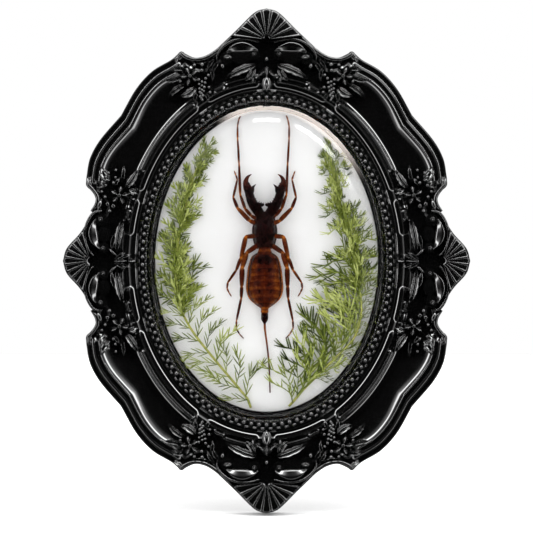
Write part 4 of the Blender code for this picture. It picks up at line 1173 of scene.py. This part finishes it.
def twig(name, length, needles, needle_length, width, spread, curl, forks, bend, seed):
    """A bent stalk along +Z with needles, and forked side stalks that carry needles of their own."""
    rng = random.Random(seed)
    points, faces = [], []

    def stalk(root, direction, long, count, depth):
        at, heading = Vector(root), Vector(direction).normalized()
        done, piece = 0, long / 4
        for step in range(4):
            blade(points, faces, at, heading, piece * 1.25, width * (0.95 - 0.12 * step), 0.0)
            upto = round(count * (step + 1) / 4)
            for i in range(done, upto):
                lean = rng.uniform(0.6, 1.25) * spread
                turn = (0.0 if i % 2 else math.pi) + rng.uniform(-0.9, 0.9)
                aside = Vector((math.cos(turn), math.sin(turn) * 0.7, 0))
                out = heading * math.cos(lean) + aside * math.sin(lean)
                foot = at + heading * piece * rng.random()
                size = needle_length * rng.uniform(0.7, 1.15)
                if depth and (i + 1) % max(2, count // forks) == 0:
                    stalk(foot, out, size * 1.5, 5, 0)
                else:
                    blade(points, faces, foot, out, size, width, curl * rng.uniform(0.2, 1.4))
            done = upto
            at = at + heading * piece
            sway = Vector((rng.uniform(-0.5, 1.0), rng.uniform(-0.6, 0.6), 0.0))
            heading = (heading + sway * bend).normalized()
        for side in (-0.3, 0.25):
            out = (heading + Vector((side, rng.uniform(-0.2, 0.2), 0))).normalized()
            blade(points, faces, at, out, needle_length * rng.uniform(0.7, 1.0), width, curl)

    stalk((0, 0, 0), (0, 0, 1), length, needles, forks)
    mesh = bpy.data.meshes.new(name)
    mesh.from_pydata([tuple(p * MM) for p in points], [], faces)
    print(name, len(faces), "faces")
    return put_in_scene(name, mesh)


# %% [markdown]
# Geometry Nodes grow the foliage. The stem is cut into even steps, and one of two kinds of twig is
# set on each, turned about the stem and leant away from it by chance. The twigs shrink towards the
# tip, and each carries a tint of its own into the finished mesh.

# %% Tree that sets twigs along a stem
def sprig_tree(material):
    """Twigs of two kinds on a stem, turned, leant and sized by chance within the given limits."""
    made, given = new_tree("sprig", (
        ("Stem", "Geometry"), ("Twigs", "Int"), ("Twig A", "Object"), ("Twig B", "Object"),
        ("Turn From", "Float"), ("Turn To", "Float"), ("Lean From", "Float"), ("Lean To", "Float"),
        ("Size From", "Float"), ("Size To", "Float"), ("Tip Size", "Float"), ("Seed", "Int")))
    points = node(made, "GeometryNodeCurveToPoints", {"Curve": given["Stem"], "Count": given["Twigs"]},
                  mode="COUNT")
    index = node(made, "GeometryNodeInputIndex").outputs[0]

    def chance(what, shift):
        seed = node(made, "FunctionNodeIntegerMath", {0: given["Seed"], 1: shift}, operation="ADD")
        return node(made, "FunctionNodeRandomValue",
                    {"Min": given[what + " From"], "Max": given[what + " To"], "ID": index,
                     "Seed": seed.outputs[0]}, data_type="FLOAT").outputs["Value"]

    rotation = facing_out(made, points.outputs["Tangent"], "Z")
    for what, shift, axis in (("Turn", 1, (0, 0, 1)), ("Lean", 2, (0, 1, 0))):
        turn = node(made, "FunctionNodeAxisAngleToRotation", {"Axis": axis, "Angle": chance(what, shift)})
        rotation = node(made, "FunctionNodeRotateRotation",
                        {"Rotation": rotation, "Rotate By": turn.outputs["Rotation"]},
                        rotation_space="LOCAL").outputs["Rotation"]
    taper = node(made, "ShaderNodeMapRange", {
        "Value": calc(made, "DIVIDE", index, given["Twigs"]), "From Min": 0.3, "From Max": 1.0,
        "To Min": 1.0, "To Max": given["Tip Size"]})
    size = calc(made, "MULTIPLY", chance("Size", 3), taper.outputs["Result"])
    both_kinds = node(made, "GeometryNodeJoinGeometry")
    for name in ("Twig A", "Twig B"):
        got = node(made, "GeometryNodeObjectInfo", {"Object": given[name]})
        kind = node(made, "GeometryNodeGeometryToInstance", {"Geometry": got.outputs["Geometry"]})
        made.links.new(kind.outputs[0], both_kinds.inputs[0])
    which = node(made, "FunctionNodeRandomValue", {"ID": index}, data_type="INT")
    for socket in which.inputs:
        if socket.type == "INT" and socket.name in ("Min", "Max"):
            socket.default_value = int(socket.name == "Max")
    set_on = node(made, "GeometryNodeInstanceOnPoints", {
        "Points": points.outputs["Points"], "Instance": both_kinds.outputs[0], "Rotation": rotation,
        "Scale": size, "Pick Instance": True,
        "Instance Index": [s for s in which.outputs if s.type == "INT"][0]})
    tint_value = node(made, "FunctionNodeRandomValue", {"Seed": 9}, data_type="FLOAT")
    tinted = node(made, "GeometryNodeStoreNamedAttribute", {
        "Name": "tint", "Geometry": set_on.outputs["Instances"], "Value": tint_value.outputs["Value"]},
        data_type="FLOAT", domain="INSTANCE")
    real = node(made, "GeometryNodeRealizeInstances", {"Geometry": tinted.outputs["Geometry"]})
    finish_tree(made, real.outputs["Geometry"], material)
    return made


grow_sprig = sprig_tree(fern_green)
print("sprig tree of", len(grow_sprig.nodes), "nodes")

# %% [markdown]
# Between the panel and the dome there is little room, so a sprig is pressed flat. Heights and reach
# are eased towards their limits and never cut off, because a cut would leave needles that lie in
# one another. Each needle then gets its own green, paler towards its tip. Painted light and shade
# make it lighter where it lies on top and darker where it lies low, in place of the shade among the needles.

# %% Pressing and growing
FERN_FLOOR = 5.8
FERN_TOP = 13.0
FERN_OVAL = (46.6, 63.0)
FREE_REACH = 0.94
FLATTENED_TO = 0.55
FOLIAGE_LIFT = 0.9


def pressed(made, middle):
    """Presses a sprig flat between the panel and the dome, keeps it inside the dome's wall, and tints it, with
    painted shade that darkens low needles and lightens those on top.
    """
    mesh = made.data
    count = len(mesh.vertices)
    at = np.empty(count * 3)
    mesh.vertices.foreach_get("co", at)
    at = at.reshape(-1, 3) / MM
    rise = (-at[:, 1] - middle) * FLATTENED_TO
    room = np.where(rise > 0, FERN_TOP - middle, middle - FERN_FLOOR)
    height = middle + room * np.tanh(rise / room)
    at[:, 1] = -height
    reach_out = np.hypot(at[:, 0] / FERN_OVAL[0], at[:, 2] / FERN_OVAL[1])
    left = 1 - FREE_REACH
    shrink = np.minimum(1.0, (FREE_REACH + left * np.tanh((reach_out - FREE_REACH) / left)) / reach_out)
    at[:, 0] *= shrink
    at[:, 2] *= shrink
    mesh.vertices.foreach_set("co", (at * MM).reshape(-1))
    mesh.update()
    of_twig = np.empty(count)
    field = mesh.attributes["tint"]
    field.data.foreach_get("value", of_twig)
    needle, point = np.divmod(np.arange(count), NEEDLE_POINTS)
    of_needle = np.random.default_rng(count).random(count // NEEDLE_POINTS + 1)[needle]
    # Painted light and shade: a needle high in the sprig is lighter, and one that lies low is darker.
    painted_shade_by_height = np.clip((height - middle) / 3.0, -1, 1)
    green = 0.12 + 0.2 * of_twig + 0.46 * of_needle + 0.06 * (point // 3) + 0.4 * painted_shade_by_height
    field.data.foreach_set("value", green)


def grow(name, line, twigs, turn, lean, size, tip_size, kinds, seed):
    """One stretch of foliage along a stem, as a finished piece. Its name starts with its side."""
    values = {"Twigs": twigs, "Twig A": kinds[0], "Twig B": kinds[1], "Tip Size": tip_size, "Seed": seed}
    for what, (low, high) in (("Turn", turn), ("Lean", lean), ("Size", size)):
        values |= {what + " From": low, what + " To": high}
    made = applied(drawn_curve(line[:, :3]), grow_sprig, values, name)
    pressed(made, float(line[:, 2].mean()) + FOLIAGE_LIFT)
    return dress(made, "fern_" + name.split("_")[0])


# %% [markdown]
# Both sprigs keep the course they have in the picture. The left one is a dense plume at the top,
# with a few forked twigs on its lower half. The right one is wirier, and its longer twigs reach
# towards the middle, most of all near its foot.

# %% The two sprigs
LEFT_STEM = [(-6.5, -60.9, 6.4), (-8.1, -56.9, 6.6), (-12.6, -51.4, 7), (-17.6, -45.5, 7.4),
             (-23.9, -37.9, 7.8), (-29.3, -31.1, 8), (-33.2, -24.8, 7.8), (-36, -18.5, 7.4), (-37.2, -9, 7.2),
             (-37.4, 0, 7.2), (-36.9, 6.2, 7.2), (-35.9, 13.1, 7.2), (-34.5, 20, 7.2), (-32.7, 26.9, 7.2),
             (-30.6, 33.7, 7.2), (-28, 40, 7), (-26, 44.4, 6.8), (-25.2, 46.2, 6.6)]
RIGHT_STEM = [(9.2, -60.3, 6.4), (12.4, -56.6, 6.6), (17, -51.4, 7), (24.1, -44.3, 7.6), (31.1, -37.3, 8),
              (36, -32, 8.2), (38.8, -23.9, 8), (38.9, -15.4, 7.6), (37.8, -9, 7.2), (35.9, 3.3, 7.2),
              (33.5, 12.5, 7.2), (31.4, 20.5, 7.2), (28.9, 30.4, 7.2), (27, 38.2, 7), (26.6, 42.6, 6.8)]
left_line, right_line = curve_through(LEFT_STEM, 120), curve_through(RIGHT_STEM, 120)
# Kinds of twig as (length, needles, their length and width, spread, curl, forks, bend, seed).
TWIGS = {
    "plume_twig_a": (8.0, 12, 3.8, 0.27, 0.6, 0.05, 0, 0.12, 11),
    "plume_twig_b": (6.2, 10, 3.9, 0.27, 0.8, -0.04, 0, 0.12, 12),
    "spray_twig_a": (8.4, 6, 4.6, 0.25, 0.6, 0.05, 1, 0.12, 13),
    "spray_twig_b": (6.8, 5, 4.4, 0.25, 0.7, 0.08, 1, 0.14, 14),
    "wiry_twig_a": (10.0, 8, 4.8, 0.26, 0.75, 0.24, 2, 0.3, 15),
    "wiry_twig_b": (8.0, 7, 4.8, 0.26, 0.85, 0.3, 2, 0.35, 16),
}
plume_a, plume_b, spray_a, spray_b, wiry_a, wiry_b = kinds = [twig(name, *row) for name, row in TWIGS.items()]
ALL_ROUND = (0.0, math.tau)
grow("left_plume", left_line[44:], 100, ALL_ROUND, (0.4, 1.0), (0.95, 1.35), 0.6, (plume_a, plume_b), 1)
grow("left_spray_out", left_line[6:52], 9, (-0.4, 0.4), (0.6, 1.0), (0.8, 1.1), 1.0, (spray_a, spray_b), 2)
grow("left_spray_in", left_line[8:58], 10, (math.pi - 0.4, math.pi + 0.4), (0.6, 1.0), (0.9, 1.3), 1.0,
     (spray_a, spray_b), 3)
grow("right_plume", right_line[60:], 54, ALL_ROUND, (0.35, 0.9), (0.8, 1.1), 0.75, (wiry_b, wiry_b), 4)
grow("right_spray_in", right_line[4:74], 24, (-0.6, 0.6), (0.35, 1.0), (1.1, 1.6), 0.9, (wiry_a, wiry_b), 5)
grow("right_spray_out", right_line[20:90], 22, (math.pi - 0.8, math.pi + 0.8), (0.3, 0.7), (0.4, 0.65), 1.0,
     (wiry_a, wiry_b), 6)
for kind in kinds:
    bpy.data.objects.remove(kind, do_unlink=True)

STEM_RADIUS = 0.52
STEM_TAPER = 0.34
STEM_TIP = 0.16
for side, line in (("left", left_line), ("right", right_line)):
    path = [(*point, max(STEM_RADIUS - STEM_TAPER * i / len(line), STEM_TIP), 0.0)
            for i, point in enumerate(line[::3])]
    dress(build(side + "_stem", [tube(path, 8)[:2]], fern_stem), "fern_" + side)
